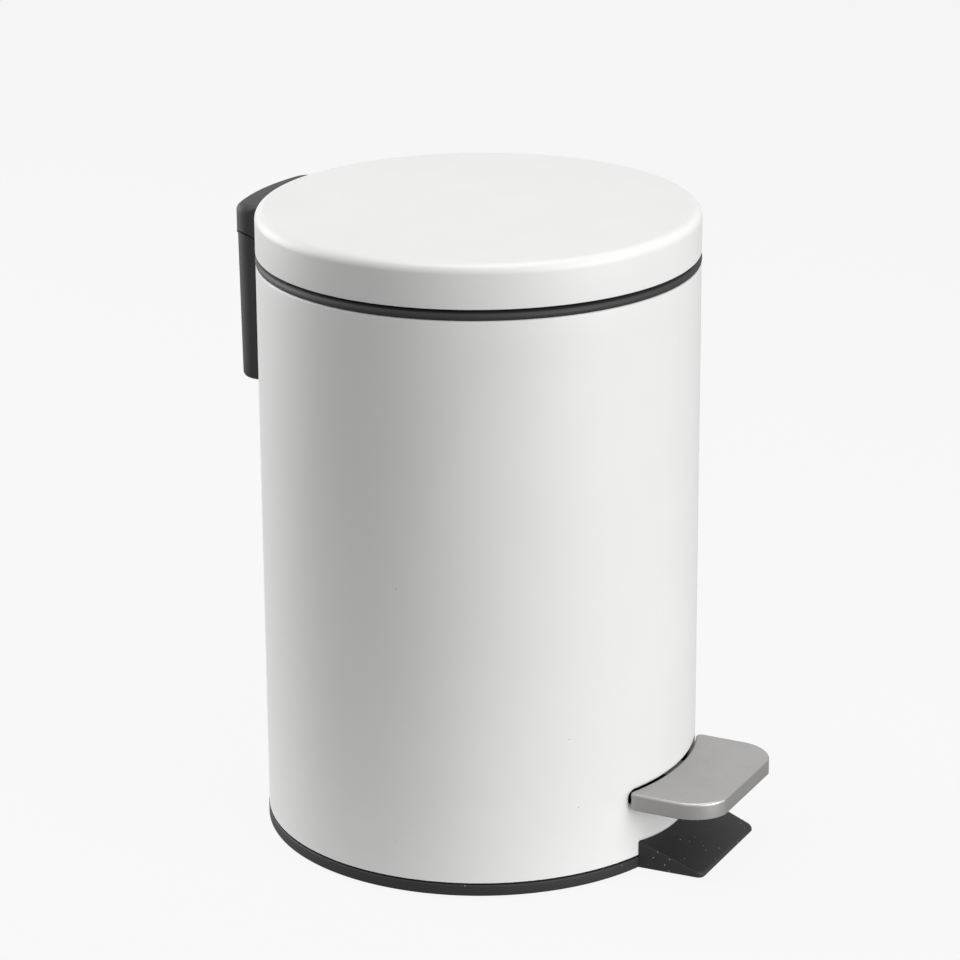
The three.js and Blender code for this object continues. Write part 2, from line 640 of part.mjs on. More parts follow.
// A slotted finger on the lid lever: it points forwards and down at rest, and its slot holds a
// pin that only moves up and down at a fixed distance from the hinge.
function slottedFinger(offset, pinRadius, wall, x0, x1) {
  const slotHalf = pinRadius + swingError(offset) + wire.slotPlay;
  const near = offset - wire.slotPlay;
  const far = offset / Math.cos(halfOpen) + pinRadius + wire.slotPlay - slotHalf;
  const at = (reach) => [hingeY - reach * Math.cos(halfOpen), hingeZ - reach * Math.sin(halfOpen)];
  const half = slotHalf + wall;
  const body = bar(at(Math.max(0, half - hinge.barrelRadius)), at(far), 2 * half, x0, x1);
  const slot = bar(at(Math.min(near, far - gap)), at(far), 2 * slotHalf, x0 - gap, x1 + gap);
  return { body, slot };
}

function lidLever() {
  const hornTo = damper.hornFromX + damper.hornThick;
  const barrel = across(hinge.barrelRadius, -hinge.barrelHalf, hornTo, hingeY, hingeZ);
  const arm = block([-lidArm.halfWidth, armFront, hingeZ],
    [lidArm.halfWidth, armFront + lidArm.thick, overallHeight - lidArm.topBelowLid]);
  const lift = slottedFinger(rodToHinge, wire.radius, finger.wall,
    -finger.halfWidth, finger.halfWidth);
  const horn = slottedFinger(damper.offset, damper.pinRadius, damper.hornWall,
    damper.hornFromX, hornTo);
  const pinHole = across(holeOver(hinge.pinRadius), -canRadius, canRadius, hingeY, hingeZ);
  return cut(join(barrel, arm, lift.body, horn.body), lift.slot, horn.slot, pinHole,
    lidScrewHole(-1), lidScrewHole(1));
}

// ---- Lift rod ------------------------------------------------------------------------------------

function liftRod() {
  const x = -wire.sideways;
  const elbow = (z) => solid(new THREE.SphereGeometry(wire.radius, aroundShaft, aroundShaft / 2)
    .translate(x, rodY, z));
  const leg = (z) => across(wire.radius, x, wire.legReach, rodY, z);
  return join(upright(wire.radius, rodBottomZ, rodTopZ, x, rodY), elbow(rodTopZ),
    elbow(rodBottomZ), leg(rodTopZ), leg(rodBottomZ));
}

function rodClip(name, z) {
  const x0 = finger.halfWidth + wireClip.fromPlate;
  const disc = across(wireClip.radius, 0, wireClip.thick, 0, 0);
  const hole = across(wire.radius + gap, -gap, wireClip.thick + gap, 0, 0);
  const mesh = part(name, cut(disc, hole), platedSteel);
  mesh.position.set(x0, rodY, z);
  return mesh;
}

// Block inside the body that keeps the rod upright.
function rodGuideBlock() {
  const outer = shellInner - gap;
  const z0 = rodGuide.middleZ - rodGuide.height / 2;
  const z1 = z0 + rodGuide.height;
  const band = cut(upright(outer, z0, z1, 0, 0, aroundCan),
    upright(outer - rodGuide.depth, z0 - gap, z1 + gap, 0, 0, aroundCan));
  const piece = band.intersect(block([-rodGuide.left, 0, z0], [rodGuide.right, canRadius, z1]));
  const bore = upright(wire.radius + gap, z0 - gap, z1 + gap, -wire.sideways, rodY);
  return cut(piece, bore, guideRivetHole());
}

// ---- Damper --------------------------------------------------------------------------------------

const damperBottom = hingeZ - housing.bottomDrop + cover.floor + gap;

function damperCylinder() {
  const top = damperBottom + damper.cylinderHeight;
  const tube = upright(damper.cylinderRadius, damperBottom, top, damper.x, damperY);
  const bore = upright(damper.bore, damperBottom + damper.cylinderRadius, top + gap,
    damper.x, damperY);
  return cut(tube, bore);
}

function damperPiston() {
  const start = damperBottom + damper.cylinderRadius + gap;
  const headFrom = damper.hornFromX + damper.hornThick + gap;
  const headTo = earInside - gap;
  return join(
    upright(damper.rodRadius, start, damperPinZ, damper.x, damperY),
    across(damper.headRadius, headFrom, headTo, damperY, damperPinZ),
    across(damper.pinRadius, damper.hornFromX, headTo - gap, damperY, damperPinZ),
  );
}

// ---- Lid -----------------------------------------------------------------------------------------

function lidShell() {
  const outer = canRadius + lid.overhang;
  const flat = outer - lid.corner;
  const cornerZ = overallHeight - lid.corner;
  const inside = lid.corner - lid.wall;
  const outline = [
    [0, overallHeight],
    ...quarter(flat, cornerZ, lid.corner, 90, 0),
    [outer, lidBottom],
    [outer - lid.wall, lidBottom],
    ...quarter(flat, cornerZ, inside, 0, 90),
    [0, overallHeight - lid.wall],
  ];
  return cut(turned(outline), lidScrewHole(-1), lidScrewHole(1));
}

function lidLiner() {
  const radius = canRadius - liner.radiusInset;
  const top = overallHeight - lid.wall - gap;
  return turned([
    [0, top],
    [radius, top],
    [radius, top - liner.rim],
    [radius - liner.rimWidth, top - liner.rim],
    [radius - 2 * liner.rimWidth, top - liner.skin],
    [0, top - liner.skin],
  ]);
}

// ---- Pedal ---------------------------------------------------------------------------------------

// Plan of the pedal drawn inwards by an inset: rear edge round the can, soft front corners.
function pedalPlan(inset) {
  const w = pedal.halfWidth - inset;
  const front = canRadius + pedal.projection - inset;
  const rear = canRadius + pedal.standoff + inset;
  const frontR = pedal.frontCorner - inset;
  const rearR = pedal.rearCorner - inset;
  const rearX = w - rearR;
  const rearY = -Math.sqrt((rear + rearR) ** 2 - rearX ** 2);
  const meet = Math.atan2(-rearY, -rearX);
  const along = Math.atan2(rearY, rearX);
  const shape = new THREE.Shape();
  shape.absarc(w - frontR, frontR - front, frontR, -Math.PI / 2, 0, false);
  shape.absarc(rearX, rearY, rearR, 0, meet, false);
  shape.absarc(0, 0, rear, along, -Math.PI - along, true);
  shape.absarc(-rearX, rearY, rearR, Math.PI - meet, Math.PI, false);
  shape.absarc(frontR - w, frontR - front, frontR, Math.PI, 1.5 * Math.PI, false);
  shape.closePath();
  return shape;
}

const studPlaces = [0, 1].map((i) => -frontReach + pedal.studInset + i * pedal.studSpacing - gap);

// Room for the lever's strap inside the pedal, open to the rear.
function strapSpace(z0) {
  const half = lever.halfWidth + gap;
  return block([-half, leverFrontY - gap, z0], [half, 0, pedalUnderside]);
}

const leverFrontY = -frontReach + lever.frontInset;

function pedalPlate() {
  const tray = cut(raised(pedalPlan(0), pedalBottom, pedal.top),
    raised(pedalPlan(pedal.sheet), pedalBottom - gap, pedalUnderside));
  const skirtRear = -canRadius - pedal.standoff - 2 * pedal.sheet;
  const rearGap = block([-lever.halfWidth - gap, skirtRear, pedalBottom - gap],
    [lever.halfWidth + gap, 0, pedalUnderside]);
  const studs = studPlaces.map((y) => upright(pedal.studRadius, pedalBottom,
    pedal.top - pedal.sheet / 2, 0, y));
  return join(cut(tray, rearGap), ...studs);
}

function pedalInsert() {
  const pad = raised(pedalPlan(pedal.sheet + gap), pedalBottom - gap, pedalUnderside - gap);
  return cut(pad, strapSpace(0));
}

function pedalLever() {
  const half = lever.halfWidth;
  const bend = [-canRadius + lever.bendSetback, strapMiddle];
  const frontEnd = [leverFrontY + lever.thick / 2, strapMiddle];
  const pivot = [axleY, axle.height];
  const slotHalf = wire.radius + wire.slotPlay;
  const at = (reach) => [axleY + reach * Math.cos(leverTilt),
    axle.height - reach * Math.sin(leverTilt)];
  const far = leverReach / Math.cos(leverTilt);
  const whole = join(
    bar(frontEnd, bend, lever.thick, -half, half),
    bar(bend, pivot, lever.thick, -half, half),
    across(lever.hubRadius, -half, half, axleY, axle.height),
    bar(pivot, at(far), 2 * (slotHalf + lever.slotWall), -lever.armHalfWidth, lever.armHalfWidth),
  );
  const slot = bar(at(leverReach), at(far), 2 * slotHalf, -canRadius, canRadius);
  const axleHole = across(holeOver(axle.radius), -canRadius, canRadius, axleY, axle.height);
  const studHoles = studPlaces.map((y) => upright(holeOver(pedal.studRadius), 0, 2 * pedal.top,
    0, y));
  return cut(whole, slot, axleHole, ...studHoles);
}

function studNut(name, y) {
  const top = strapTop - lever.thick - gap;
  const ringPiece = cut(upright(pushNut.radius, -pushNut.thick, 0),
    upright(holeOver(pedal.studRadius), -2 * pushNut.thick, gap));
  const mesh = part(name, ringPiece, platedSteel);
  mesh.position.set(0, y, top);
  return mesh;
}

const axleEnd = lever.halfWidth + gap + ear.thick + gap;

function pedalAxle() {
  const shaft = across(axle.radius, -axleEnd - axle.headThick / 2, axleEnd + 2 * axle.headThick,
    axleY, axle.height);
  return join(shaft, across(axle.headRadius, -axleEnd - axle.headThick, -axleEnd,
    axleY, axle.height));
}

function axleClip() {
  const disc = across(axle.headRadius, axleEnd, axleEnd + axle.headThick / 2, axleY, axle.height);
  return cut(disc, across(holeOver(axle.radius), 0, canRadius, axleY, axle.height));
}

// ---- Bucket and bail -----------------------------------------------------------------------------

function bucketSolid() {
  const topRadius = canRadius - bucket.topInset;
  const bottomRadius = topRadius - bucket.draft;
  const bottom = deckTop + bucket.bottomLift;
  const { wall, floor, corner } = bucket;
  const body = turned([
    [0, bottom],
    ...quarter(bottomRadius - corner, bottom + corner, corner, -90, 0),
    [topRadius, bucketRimBottom],
    [bucketRimRadius, bucketRimBottom],
    [bucketRimRadius, bucketRimTop],
    [topRadius - wall, bucketRimTop],
    ...quarter(bottomRadius - corner, bottom + corner + floor - wall, corner - wall, 0, -90),
    [0, bottom + floor],
  ]);
  const ears = [-1, 1].map((side) => {
    const x = side * earMiddle;
    const half = bail.earThick / 2;
    return block([x - half, -bail.earHalf, bucketRimTop - bucket.rim / 2],
      [x + half, bail.earHalf, bailZ + bail.earHeight / 2]);
  });
  return cut(join(body, ...ears), across(holeOver(bail.radius), -canRadius, canRadius, 0, bailZ));
}

const earMiddle = bailRadius + bail.radius + gap + bail.earThick / 2;

// Half-round wire that lies on the bucket's rim, with its ends turned outwards through the ears.
function bailWire() {
  const hoop = solid(new THREE.TorusGeometry(bailRadius, bail.radius, aroundWire, aroundCan)
    .translate(0, 0, bailZ));
  const half = hoop.intersect(block([-canRadius, -canRadius, 0], [canRadius, 0, overallHeight]));
  const ends = [-1, 1].map((side) => {
    const inner = side * bailRadius;
    const outer = side * (earMiddle + bail.earThick / 2 + gap);
    return join(
      across(bail.radius, Math.min(inner, outer), Math.max(inner, outer), 0, bailZ, aroundWire),
      solid(new THREE.SphereGeometry(bail.radius, aroundWire, aroundWire).translate(inner, 0, bailZ)),
    );
  });
  return join(half, ...ends);
}

// ---- Small repeated parts ------------------------------------------------------------------------

function feet() {
  const pad = upright(foot.radius, 0, base.floorBottom - gap);
  const circle = canRadius - foot.rimInset;
  return Array.from({ length: foot.count }, (_, i) => {
    const angle = ((i + 0.5) * 2 * Math.PI) / foot.count;
    const mesh = part(`foot_${i + 1}`, pad, blackRubber);
    mesh.position.set(circle * Math.cos(angle), circle * Math.sin(angle), 0);
    return mesh;
  });
}

function bumpers() {
  return bumperPlaces().map(([x, y], i) => {
    const mesh = part(`lid_bumper_${i + 1}`, upright(bumper.radius, 0, bumper.height), blackRubber);
    mesh.position.set(x, y, bumperBottom);
    return mesh;
  });
}

function deckScrews() {
  return postPlaces().map(([x, y], i) => {
    const length = post.pilotDepth + deck.thick;
    const mesh = part(`deck_screw_${i + 1}`, screwSolid(length, deckScrew.headThick), platedSteel);
    mesh.position.set(x, y, deckTop + gap);
    return mesh;
  });
}

// ---- Assembly ------------------------------------------------------------------------------------

function fixedPieces() {
  const group = new THREE.Group();
  const sides = [['left', -1], ['right', 1]];
  const headInside = shellInner - gap;
  group.add(
    part('body_shell', bodyShell(), whiteCoat),
    part('top_ring', topRing(), blackPlastic),
    part('base', baseMoulding(), blackPlastic),
    part('floor_deck', floorDeck(), blackPlastic),
    part('rear_cover', rearCover(), blackPlastic),
    part('hinge_bracket', hingeBracket(), platedSteel),
    part('hinge_pin', hingePin(), platedSteel),
    part('hinge_pin_clip', hingePinClip(), platedSteel),
    part('rod_guide', rodGuideBlock(), paleNylon),
    part('guide_rivet', rivetSolid(shellInner - gap - rodGuide.depth, canRadius,
      guideRivetAngle, rodGuide.middleZ), platedSteel),
    part('damper_cylinder', damperCylinder(), paleNylon),
    part('pedal_axle', pedalAxle(), platedSteel),
    part('axle_clip', axleClip(), platedSteel),
    ...sides.map(([name, side]) => part(`bracket_rivet_${name}`, rivetSolid(shellInner,
      bracketOuter, side * bracketRivetAngle, bracketRivetZ), platedSteel)),
    ...sides.map(([name, side]) => radialScrew(`cover_screw_${name}`, headInside,
      coverScrew.grip, side * coverScrew.degrees, hingeZ - coverScrew.drop)),
    ...feet(), ...bumpers(), ...deckScrews(),
  );
  return group;
}

function movingPieces() {
  const group = new THREE.Group();
  const lidScrewLength = armFront + lidArm.thick - shellInner;
  const sides = [['left', -1], ['right', 1]];
  group.add(
    part('lid_shell', lidShell(), whiteCoat),
    part('lid_liner', lidLiner(), blackPlastic),
    part('hinge_cap', hingeCap(), blackPlastic),
    part('lid_lever', lidLever(), platedSteel),
    ...sides.map(([name, side]) => radialScrew(`lid_screw_${name}`,
      canRadius + lid.overhang - lid.wall - gap, lidScrewLength, side * lidScrew.degrees,
      lidScrewZ)),
    part('lift_rod', liftRod(), platedSteel),
    rodClip('rod_clip_top', rodTopZ),
    rodClip('rod_clip_bottom', rodBottomZ),
    part('damper_piston', damperPiston(), platedSteel),
    part('pedal_plate', pedalPlate(), brushedSteel),
    part('pedal_insert', pedalInsert(), blackPlastic),
    part('pedal_lever', pedalLever(), platedSteel),
    studNut('stud_nut_front', studPlaces[0]),
    studNut('stud_nut_rear', studPlaces[1]),
    part('bucket', bucketSolid(), bucketPlastic),
    part('bucket_bail', bailWire(), platedSteel),
  );
  return group;
}

const trashCan = new THREE.Group();
trashCan.name = 'pedal_trash_can';
trashCan.position.y = canAxisY;
trashCan.add(fixedPieces(), movingPieces());

export default trashCan;
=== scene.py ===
import json
import logging
import math
from collections.abc import Callable
from dataclasses import dataclass
from enum import Enum

import bmesh
import bpy
import numpy as np
from mathutils import Matrix, Vector


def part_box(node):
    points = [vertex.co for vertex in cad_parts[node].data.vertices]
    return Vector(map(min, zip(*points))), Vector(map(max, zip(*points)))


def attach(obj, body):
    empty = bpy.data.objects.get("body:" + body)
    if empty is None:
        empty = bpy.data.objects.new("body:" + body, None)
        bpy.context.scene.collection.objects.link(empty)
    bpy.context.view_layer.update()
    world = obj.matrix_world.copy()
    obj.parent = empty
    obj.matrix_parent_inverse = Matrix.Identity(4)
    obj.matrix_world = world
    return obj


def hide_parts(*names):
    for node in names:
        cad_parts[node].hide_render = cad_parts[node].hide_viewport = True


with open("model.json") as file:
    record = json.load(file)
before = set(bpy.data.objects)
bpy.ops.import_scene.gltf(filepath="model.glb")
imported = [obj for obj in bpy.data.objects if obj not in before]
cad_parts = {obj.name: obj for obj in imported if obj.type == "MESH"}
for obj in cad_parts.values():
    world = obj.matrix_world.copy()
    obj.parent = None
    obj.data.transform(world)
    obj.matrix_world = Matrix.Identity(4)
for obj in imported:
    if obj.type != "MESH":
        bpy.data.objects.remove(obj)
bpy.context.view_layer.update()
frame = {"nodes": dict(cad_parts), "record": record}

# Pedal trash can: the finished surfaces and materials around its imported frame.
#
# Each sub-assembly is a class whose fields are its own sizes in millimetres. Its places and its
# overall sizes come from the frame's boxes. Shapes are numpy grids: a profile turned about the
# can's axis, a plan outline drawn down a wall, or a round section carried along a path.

MM = 0.001
SHARP_DEGREES = 32.0
BUMPERS = ("lid_bumper_1", "lid_bumper_2", "lid_bumper_3")
DECK_SCREWS = ("deck_screw_1", "deck_screw_2", "deck_screw_3", "deck_screw_4")
LID_SCREWS = ("lid_screw_left", "lid_screw_right")
COVER_SCREWS = ("cover_screw_left", "cover_screw_right")
FEET = ("foot_1", "foot_2", "foot_3", "foot_4")
AROUND = 288  # steps round the can
LID_AROUND = 360  # steps round the lid
CUT = 1.0  # how far a cutting tool stands out past what it cuts, mm
CLEAR = 0.3  # gap between pieces that fit into each other, mm

log = logging.getLogger("pedal_trash_can")


class BodyName(Enum):
    """The bodies of the frame that pieces ride on."""

    CAN = "can"
    LID = "lid"
    ROD = "rod"
    PEDAL = "pedal"
    BUCKET = "bucket"
    BAIL = "bail"


class SlotName(Enum):
    """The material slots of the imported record."""

    WHITE_COAT = "white_coat"
    BLACK_PLASTIC = "black_plastic"
    BRUSHED_STEEL = "brushed_steel"
    PLATED_STEEL = "plated_steel"
    RUBBER = "rubber"
    BUCKET_PLASTIC = "bucket_plastic"
    PALE_NYLON = "pale_nylon"


# ---- Colours and nodes ---------------------------------------------------------------------------


def linear(hex_colour: str) -> tuple[float, float, float, float]:
    """Turn an sRGB hex colour into linear red, green, blue and alpha.

    Each channel c is c / 12.92 below 0.04045 and ((c + 0.055) / 1.055) ** 2.4 above it.

    Args:
        hex_colour: Six hex digits after a hash.

    Returns:
        The four linear channels, alpha 1.
    """
    channels = np.array([int(hex_colour[i:i + 2], 16) for i in (1, 3, 5)]) / 255
    low = channels / 12.92
    high = ((channels + 0.055) / 1.055) ** 2.4
    return (*np.where(channels <= 0.04045, low, high).tolist(), 1.0)


def add_node(tree: bpy.types.NodeTree, kind: str, inputs: dict | None = None,
             **settings: object) -> bpy.types.Node:
    """Add a node, set its properties, and set or link its inputs.

    Args:
        tree: The node tree that gets the node.
        kind: The node's type name.
        inputs: Socket name or number to a value, or to an output socket to link from.
        **settings: Properties of the node itself.

    Returns:
        The new node.
    """
    node = tree.nodes.new(kind)
    for name, value in settings.items():
        setattr(node, name, value)
    for key, value in (inputs or {}).items():
        if isinstance(value, bpy.types.NodeSocket):
            tree.links.new(value, node.inputs[key])
        else:
            node.inputs[key].default_value = value
    return node


def new_material(name: str) -> tuple[bpy.types.Material, bpy.types.NodeTree]:
    """Start a material with an empty node tree.

    Args:
        name: The material's name.

    Returns:
        The material and its tree.
    """
    material = bpy.data.materials.new(name)
    material.use_nodes = True
    material.node_tree.nodes.clear()
    return material, material.node_tree


def per_mm(spacing: float) -> float:
    """Scale of a texture on Object coordinates, in metres, whose features lie this far apart."""
    return 1 / (spacing * MM)


def lay_shader(tree: bpy.types.NodeTree, colour: bpy.types.NodeSocket,
               cloud: bpy.types.NodeSocket, gloss: tuple[float, float],
               relief: bpy.types.NodeSocket, depth: float, constants: dict,
               span: tuple[float, float] = (0.0, 1.0)) -> None:
    """Close a material with one shader, its roughness from a cloud and its bump from a relief.

    Roughness runs straight from gloss[0] - gloss[1] to gloss[0] + gloss[1] as the cloud runs over
    its span.

    Args:
        tree: The material's tree.
        colour: Its colour.
        cloud: What its roughness follows.
        gloss: Middle roughness, and how far it swings to each side.
        relief: What its bump follows.
        depth: Height of the bump in millimetres.
        constants: Inputs of the shader that are the same all over.
        span: The cloud's values at the least and the most roughness.
    """
    rough = add_node(tree, "ShaderNodeMapRange",
                     {"Value": cloud, "From Min": span[0], "From Max": span[1],
                      "To Min": gloss[0] - gloss[1], "To Max": gloss[0] + gloss[1]})
    bump = add_node(tree, "ShaderNodeBump", {"Height": relief, "Distance": depth * MM})
    shader = add_node(tree, "ShaderNodeBsdfPrincipled",
                      {"Base Color": colour, "Roughness": rough.outputs["Result"],
                       "Normal": bump.outputs["Normal"], **constants})
    add_node(tree, "ShaderNodeOutputMaterial", {"Surface": shader.outputs["BSDF"]})


# ---- Finishes ------------------------------------------------------------------------------------


@dataclass(frozen=True)
class PowderCoatedSteel:
    """Satin white powder coat on sheet steel: baked on, so it flows into a faint orange peel."""

    name: str = "powder_coated_steel_white"
    colour: str = "#F4F4F3"
    shade: str = "#EEEEED"
    roughness: float = 0.42
    roughness_swing: float = 0.05
    peel_spacing: float = 1.6
    peel_height: float = 0.012
    cloud_spacing: float = 38.0
    fleck_spacing: float = 17.0
    fleck_radius: float = 0.16
    fleck_colour: str = "#9A9A98"
    ior: float = 1.5

    def material(self) -> bpy.types.Material:
        """Soft gloss with a fine ripple, slight clouding and a rare dark fleck in the coat.

        Returns:
            The material.
        """
        material, tree = new_material(self.name)
        place = add_node(tree, "ShaderNodeTexCoord").outputs["Object"]
        cloud = add_node(tree, "ShaderNodeTexNoise",
                         {"Vector": place, "Scale": per_mm(self.cloud_spacing), "Detail": 2.0})
        peel = add_node(tree, "ShaderNodeTexNoise",
                        {"Vector": place, "Scale": per_mm(self.peel_spacing), "Detail": 1.0})
        fleck = add_node(tree, "ShaderNodeTexVoronoi",
                         {"Vector": place, "Scale": per_mm(self.fleck_spacing)})
        spot = add_node(tree, "ShaderNodeMapRange",
                        {"Value": fleck.outputs["Distance"],
                         "From Min": self.fleck_radius / self.fleck_spacing,
                         "From Max": 1.6 * self.fleck_radius / self.fleck_spacing,
                         "To Min": 1.0, "To Max": 0.0})
        tone = add_node(tree, "ShaderNodeMix",
                        {"Factor": cloud.outputs["Fac"], "A": linear(self.colour),
                         "B": linear(self.shade)}, data_type="RGBA")
        flecked = add_node(tree, "ShaderNodeMix",
                           {"Factor": spot.outputs["Result"], "A": tone.outputs["Result"],
                            "B": linear(self.fleck_colour)}, data_type="RGBA")
        lay_shader(tree, flecked.outputs["Result"], cloud.outputs["Fac"],
                   (self.roughness, self.roughness_swing), peel.outputs["Fac"], self.peel_height,
                   {"IOR": self.ior})
        return material


@dataclass(frozen=True)
class MouldedPlastic:
    """Injection-moulded plastic from a spark-eroded mould: a matt skin of fine grain."""

    name: str
    colour: str
    shade: str
    roughness: float
    grain_spacing: float
    grain_height: float
    roughness_swing: float = 0.06
    cloud_spacing: float = 24.0
    dust: float = 0.0
    dust_spacing: float = 2.2
    dust_radius: float = 0.34
    dust_colour: str = "#A9A9A7"
    ior: float = 1.5

    def material(self) -> bpy.types.Material:
        """Even colour broken by grain, with light specks of dust where dust is above nought.

        Returns:
            The material.
        """
        material, tree = new_material(self.name)
        place = add_node(tree, "ShaderNodeTexCoord").outputs["Object"]
        cloud = add_node(tree, "ShaderNodeTexNoise",
                         {"Vector": place, "Scale": per_mm(self.cloud_spacing), "Detail": 3.0})
        grain = add_node(tree, "ShaderNodeTexNoise",
                         {"Vector": place, "Scale": per_mm(self.grain_spacing), "Detail": 2.0,
                          "Roughness": 0.6})
        colour = add_node(tree, "ShaderNodeMix",
                          {"Factor": cloud.outputs["Fac"], "A": linear(self.colour),
                           "B": linear(self.shade)}, data_type="RGBA").outputs["Result"]
        if self.dust > 0:
            cells = add_node(tree, "ShaderNodeTexVoronoi",
                             {"Vector": place, "Scale": per_mm(self.dust_spacing)})
            size = self.dust_radius / self.dust_spacing
            speck = add_node(tree, "ShaderNodeMapRange",
                             {"Value": cells.outputs["Distance"], "From Min": size * 0.4,
                              "From Max": size, "To Min": 1.0, "To Max": 0.0})
            chance = add_node(tree, "ShaderNodeSeparateColor", {"Color": cells.outputs["Color"]})
            rare = add_node(tree, "ShaderNodeMath",
                            {0: chance.outputs["Red"], 1: self.dust}, operation="LESS_THAN")
            mask = add_node(tree, "ShaderNodeMath",
                            {0: speck.outputs["Result"], 1: rare.outputs["Value"]},
                            operation="MULTIPLY")
            colour = add_node(tree, "ShaderNodeMix",
                              {"Factor": mask.outputs["Value"], "A": colour,
                               "B": linear(self.dust_colour)}, data_type="RGBA").outputs["Result"]
        lay_shader(tree, colour, cloud.outputs["Fac"], (self.roughness, self.roughness_swing),
                   grain.outputs["Fac"], self.grain_height, {"IOR": self.ior})
        return material


@dataclass(frozen=True)
class DrawnMetal:
    """Bare or plated metal whose fine scratches all lie along X."""

    name: str
    colour: str
    shade: str
    roughness: float
    roughness_swing: float
    scratch_spacing: float
    scratch_length: float
    scratch_height: float
    cloud_spacing: float = 9.0
    blend_span: tuple[float, float] = (0.3, 0.7)

    def material(self) -> bpy.types.Material:
        """Metal that spreads a highlight across its scratches and clouds slightly over its face.

        Returns:
            The material.
        """
        material, tree = new_material(self.name)
        place = add_node(tree, "ShaderNodeTexCoord").outputs["Object"]
        stretch = self.scratch_spacing / self.scratch_length
        along = add_node(tree, "ShaderNodeMapping", {"Vector": place, "Scale": (stretch, 1, 1)})
        scratch = add_node(tree, "ShaderNodeTexNoise",
                           {"Vector": along.outputs["Vector"],
                            "Scale": per_mm(self.scratch_spacing), "Detail": 3.0})
        cloud = add_node(tree, "ShaderNodeTexNoise",
                         {"Vector": place, "Scale": per_mm(self.cloud_spacing), "Detail": 4.0})
        blend = add_node(tree, "ShaderNodeMix",
                         {"Factor": 0.5, "A": cloud.outputs["Fac"], "B": scratch.outputs["Fac"]},
                         data_type="FLOAT").outputs["Result"]
        tone = add_node(tree, "ShaderNodeMix",
                        {"Factor": blend, "A": linear(self.colour), "B": linear(self.shade)},
                        data_type="RGBA")
        lay_shader(tree, tone.outputs["Result"], blend, (self.roughness, self.roughness_swing),
                   scratch.outputs["Fac"], self.scratch_height, {"Metallic": 1.0}, self.blend_span)
        return material


class Finishes:
    """Every material of the object, made once."""

    def __init__(self) -> None:
        """Make the materials: one for each slot, and a dusty kind of the black plastic whose darker
        colour is painted shade.
        """
        self.of = {
            SlotName.WHITE_COAT: PowderCoatedSteel().material(),
            # Matt textured ABS: near-black, greyer where light grazes its grain.
            SlotName.BLACK_PLASTIC: MouldedPlastic(
                "textured_abs_black", "#252526", "#1F1F20", roughness=0.6, grain_spacing=0.8,
                grain_height=0.06).material(),
            # Polypropylene: smoother and a little waxy, with slow flow marks.
            SlotName.BUCKET_PLASTIC: MouldedPlastic(
                "polypropylene_dark_grey", "#2C2C2D", "#262627", roughness=0.38,
                grain_spacing=1.1, grain_height=0.012, cloud_spacing=45.0).material(),
            # Nylon: off-white and satin.
            SlotName.PALE_NYLON: MouldedPlastic(
                "nylon_natural", "#DAD9D2", "#D2D1C9", roughness=0.45, grain_spacing=0.8,
                grain_height=0.01).material(),
            # Rubber: black, dull, with a coarse moulded grain.
            SlotName.RUBBER: MouldedPlastic(
                "rubber_black", "#1C1C1D", "#171718", roughness=0.82, grain_spacing=0.6,
                grain_height=0.03, ior=1.52).material(),
            # Brushed stainless steel: the real grain is 0.1 mm, drawn at 0.3 mm so that it shows.
            SlotName.BRUSHED_STEEL: DrawnMetal(
                "brushed_stainless_steel", "#B4B3B2", "#A3A2A1", roughness=0.46,
                roughness_swing=0.05, scratch_spacing=0.3, scratch_length=9.0,
                scratch_height=0.008).material(),
            # Zinc-plated steel: cooler and blotchy, with short rolling marks.
            SlotName.PLATED_STEEL: DrawnMetal(
                "zinc_plated_steel", "#C3C6C9", "#A7ABAF", roughness=0.34,
                roughness_swing=0.1, scratch_spacing=0.5, scratch_length=3.0,
                scratch_height=0.006).material()}
        # The black ABS near the floor: light specks where dust settles, on a darker colour that is
        # painted shade.
        self.dusty_shaded_plastic = MouldedPlastic(
            "textured_abs_black_dusty_shaded", "#232324", "#1D1D1E", roughness=0.6, grain_spacing=0.8,
            grain_height=0.06, dust=0.2).material()


# ---- Surfaces ------------------------------------------------------------------------------------


@dataclass(frozen=True)
class Place:
    """A frame node's box in millimetres."""

    low: np.ndarray
    high: np.ndarray

    @staticmethod
    def of(node: str) -> "Place":
        """Read a node's box from the frame."""
        low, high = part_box(node)
        return Place(np.array(low) / MM, np.array(high) / MM)

    @property
    def middle(self) -> np.ndarray:
        """The box's middle."""
        return (self.low + self.high) / 2

    @property
    def size(self) -> np.ndarray:
        """The box's three sides."""
        return self.high - self.low


def arc(x: float, y: float, radius: float, start: float, end: float, steps: int) -> np.ndarray:
    """Points on a circle from one angle to another, in degrees, both ends included."""
    angle = np.radians(np.linspace(start, end, steps + 1))
    return np.stack([x + radius * np.cos(angle), y + radius * np.sin(angle)], -1)


